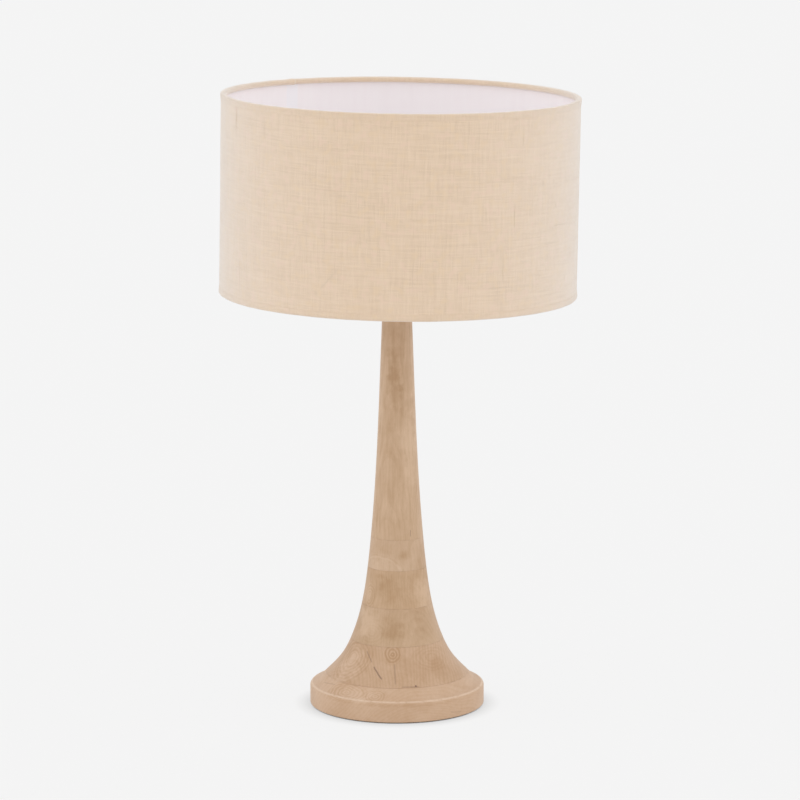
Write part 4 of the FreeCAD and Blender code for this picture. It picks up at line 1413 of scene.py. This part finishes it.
# %% Ribs and beads
RIB_PROUD = 0.35 * MM
RIB_SUNK = (0.15 * MM, 0.10 * MM)         # how deep the ribs of a ring and of the cap stand in it
RING_RIB_HALF = 0.75 * MM                 # half sizes: width, then what is left plain at each end
RING_PLAIN = 0.7 * MM
RING_RIBS, CAP_RIBS = 60, 44
CAP_RIB = (430.3 * MM, 0.8 * MM, 6.0 * MM)    # level, half width, half height
CLEAR_OF_BAR = 4.6 * MM
BEAD_LUMPS = 0.35
BEAD_SIZE = (1.5 * MM, 2.3 * MM, 2.1 * MM)
HUB_WELD = 35.4 * MM
NO_CLEARANCE = -1.0


def circle_tree(name, material, bead):
    """Copies of one rib or bead round a circle."""
    tree = Nodes(name)
    tree.input("Count", 40, "NodeSocketInt")
    tree.input("Radius", 0.02)
    tree.input("Level", 0.0)
    tree.input("Size", (0.001, 0.001, 0.01), "NodeSocketVector")
    tree.input("Keep clear", 0.0)
    size = tree.inputs()
    sockets = {"Vertices": size["Count"], "Radius": size["Radius"]}
    ring = tree.node("GeometryNodeMeshCircle", None, sockets, "Mesh")
    raised = tree.node("GeometryNodeSetPosition", None,
                       {"Geometry": ring, "Offset": tree.joined(0.0, 0.0, size["Level"])}, "Geometry")
    x, y, _ = tree.parts(tree.node("GeometryNodeInputPosition", None, None, "Position"))
    facing = tree.sum("ARCTAN2", y, x)
    if bead:
        sockets = {"Segments": 16, "Rings": 10, "Radius": 1.0}
        shape = tree.node("GeometryNodeMeshUVSphere", None, sockets, "Mesh")
        here = tree.node("GeometryNodeInputPosition", None, None, "Position")
        lumps = tree.cloud(here, 2.2, 2, 0.6) - 0.5
        normal = tree.node("GeometryNodeInputNormal", None, None, "Normal")
        lumpy = tree.scaled(normal, lumps * BEAD_LUMPS)
        shape = tree.node("GeometryNodeSetPosition", None, {"Geometry": shape, "Offset": lumpy}, "Geometry")
    else:
        shape = tree.node("GeometryNodeMeshCylinder", None,
                          {"Vertices": 10, "Side Segments": 1, "Radius": 1.0, "Depth": 2.0}, "Mesh")
    stood = tree.node("GeometryNodeInstanceOnPoints", None, {
        "Points": raised, "Selection": tree.sum("GREATER_THAN", y.size(), size["Keep clear"]),
        "Instance": shape, "Rotation": tree.joined(0.0, 0.0, facing), "Scale": size["Size"],
    }, "Instances")
    return tree.finish(stood, material)


rib_tree = circle_tree("grip_ribs", thermoset, False)
bead_tree = circle_tree("weld_beads", coat, True)
for node in ("lower_shade_ring", "upper_shade_ring"):
    low, high, radius = reach_of(node)
    half = (high - low) / 2 - RING_PLAIN
    ribs = grown(node + "_grip", rib_tree, Count=RING_RIBS, Radius=radius - RIB_SUNK[0],
                 Level=(low + high) / 2, Size=(RIB_PROUD, RING_RIB_HALF, half))
    dressed(ribs, "column", "holder_plastic", thermoset)
low, high, radius = reach_of("holder_cap")
ribs = grown("holder_cap_grip", rib_tree, Count=CAP_RIBS, Radius=radius - RIB_SUNK[1],
             Level=CAP_RIB[0], Size=(RIB_PROUD, *CAP_RIB[1:]), **{"Keep clear": CLEAR_OF_BAR})
dressed(ribs, "column", "holder_plastic", thermoset)
wire_level = drum_low + (WIRE_CENTRE - hem_inside)
WELDS = {                                 # radius, level
    "hub_welds": (HUB_WELD, 0.0),
    "rim_welds": (WIRE_CENTRE - 1.9 * MM, wire_level + 0.5 * MM),
}
for name, (radius, level) in WELDS.items():
    beads = grown(name, bead_tree, ON_SHADE, Count=3, Radius=float(radius), Level=float(level),
                  Size=BEAD_SIZE, **{"Keep clear": NO_CLEARANCE})
    dressed(beads, "shade", "frame_wire", coat)

# %% [markdown]
# ## Felt and switch tips
# The felt disc is cut by hand: its edge wanders and is a little fuzzy, and its underside swells
# softly. The switch bar's ends are domed, so that a finger finds them and doesn't hurt.

# %% Felt and switch tips
FELT_TRIM = 0.35 * MM                     # how much smaller than the frame's disc it is cut
FELT_SIDES = 360
FELT_SWELL = 0.05 * MM


def felt_outline(angle):
    low, high, radius = reach_of("felt_pad")
    x, y = math.sin(angle), math.cos(angle)
    edge = radius - FELT_TRIM
    edge += 0.30 * MM * wander(6 * x, 6 * y, 2.0) + 0.14 * MM * wander(45 * x, 45 * y, 5.0)
    under = [(share * edge, low + FELT_SWELL * (1 + wander(7 * x * share, 7 * y * share, 1.0)))
             for share in (0.0, 0.2, 0.4, 0.6, 0.8, 0.94)]
    corners = [(0.15, low), (0.0, low + 0.3 * MM), (0.0, high - 0.2 * MM), (0.2, high)]
    rounded = [(edge - inset * MM, height) for inset, height in corners]
    return under + rounded + [(0.5 * edge, high), (0.0, high)]


felt_disc = turned("felt_disc", felt_outline, FELT_SIDES, reach_of("felt_pad")[2])
dressed(felt_disc, "column", "felt", felt, "felt_pad")

BAR_RADIUS = 2.5 * MM
TIP_OVERLAP = 0.4 * MM                    # the tip starts this far inside the bar
bar_low, bar_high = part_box("switch_bar")
bar_level = (bar_low.z + bar_high.z) / 2
DOME = [(float(BAR_RADIUS * math.cos(t)), float(0.75 * BAR_RADIUS * math.sin(t)))
        for t in np.linspace(0, math.pi / 2, 9)]
for side, end in (("left", bar_low.x), ("right", bar_high.x)):
    tip_turn = Matrix.Rotation(math.pi / 2 if side == "right" else -math.pi / 2, 4, "Y")
    place = Matrix.Translation((end, 0, bar_level)) @ tip_turn
    outline = [(0.0, -TIP_OVERLAP), (BAR_RADIUS - 0.02 * MM, -TIP_OVERLAP)] + DOME
    tip = turned(side + "_switch_tip", same_all_round(outline), 40, place=place)
    dressed(tip, "switch", "brass", bar_brass)

# %% [markdown]
# ## Finishes for the frame's own nodes
# Wires, washers, contacts and the bulb's glass have the right shape in the frame already. They only
# take a finish in their material slots.

# %% Node finishes
NODE_FINISHES = {
    zinc: ["threaded_tube", "bottom_washer", "lock_washer", "bottom_nut", "terminal_screws", "gimbal_pins"],
    brass: ["vase_cap", "terminal_blocks", "screw_shell", "centre_contact"],
    bar_brass: ["switch_bar"],
    cap_metal: ["bulb_tip", "filament_supports"],
    coat: ["fitter_ring", "gimbal_ring", "spider_arms", "bottom_wire", "top_wire"],
    thermoset: ["holder_cap", "lower_shade_ring", "upper_shade_ring"],
    ceramic: ["holder_insert"],
    gland_plastic: ["cord_gland"],
    vitrite: ["bulb_insulator"],
    opal: ["bulb_glass"],
    stem_glass: ["bulb_stem"],
    phosphor: ["filaments"],
}
for finish, names in NODE_FINISHES.items():
    for name in names:
        for slot in nodes[name].material_slots:
            slot.material = finish
finished = sum(len(names) for names in NODE_FINISHES.values())
print(finished, "nodes keep their shape and have their own finish")

# %% [markdown]
# ## Outer size
# The outer size is written down before and after, to be compared.

# %% Outer size
visual_box = [list(corner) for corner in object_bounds()]
for axis, name in enumerate("xyz"):
    spans = [round((box[1][axis] - box[0][axis]) / MM, 1) for box in (cad_box, visual_box)]
    print(name, "frame", spans[0], "mm, dressed", spans[1], "mm")
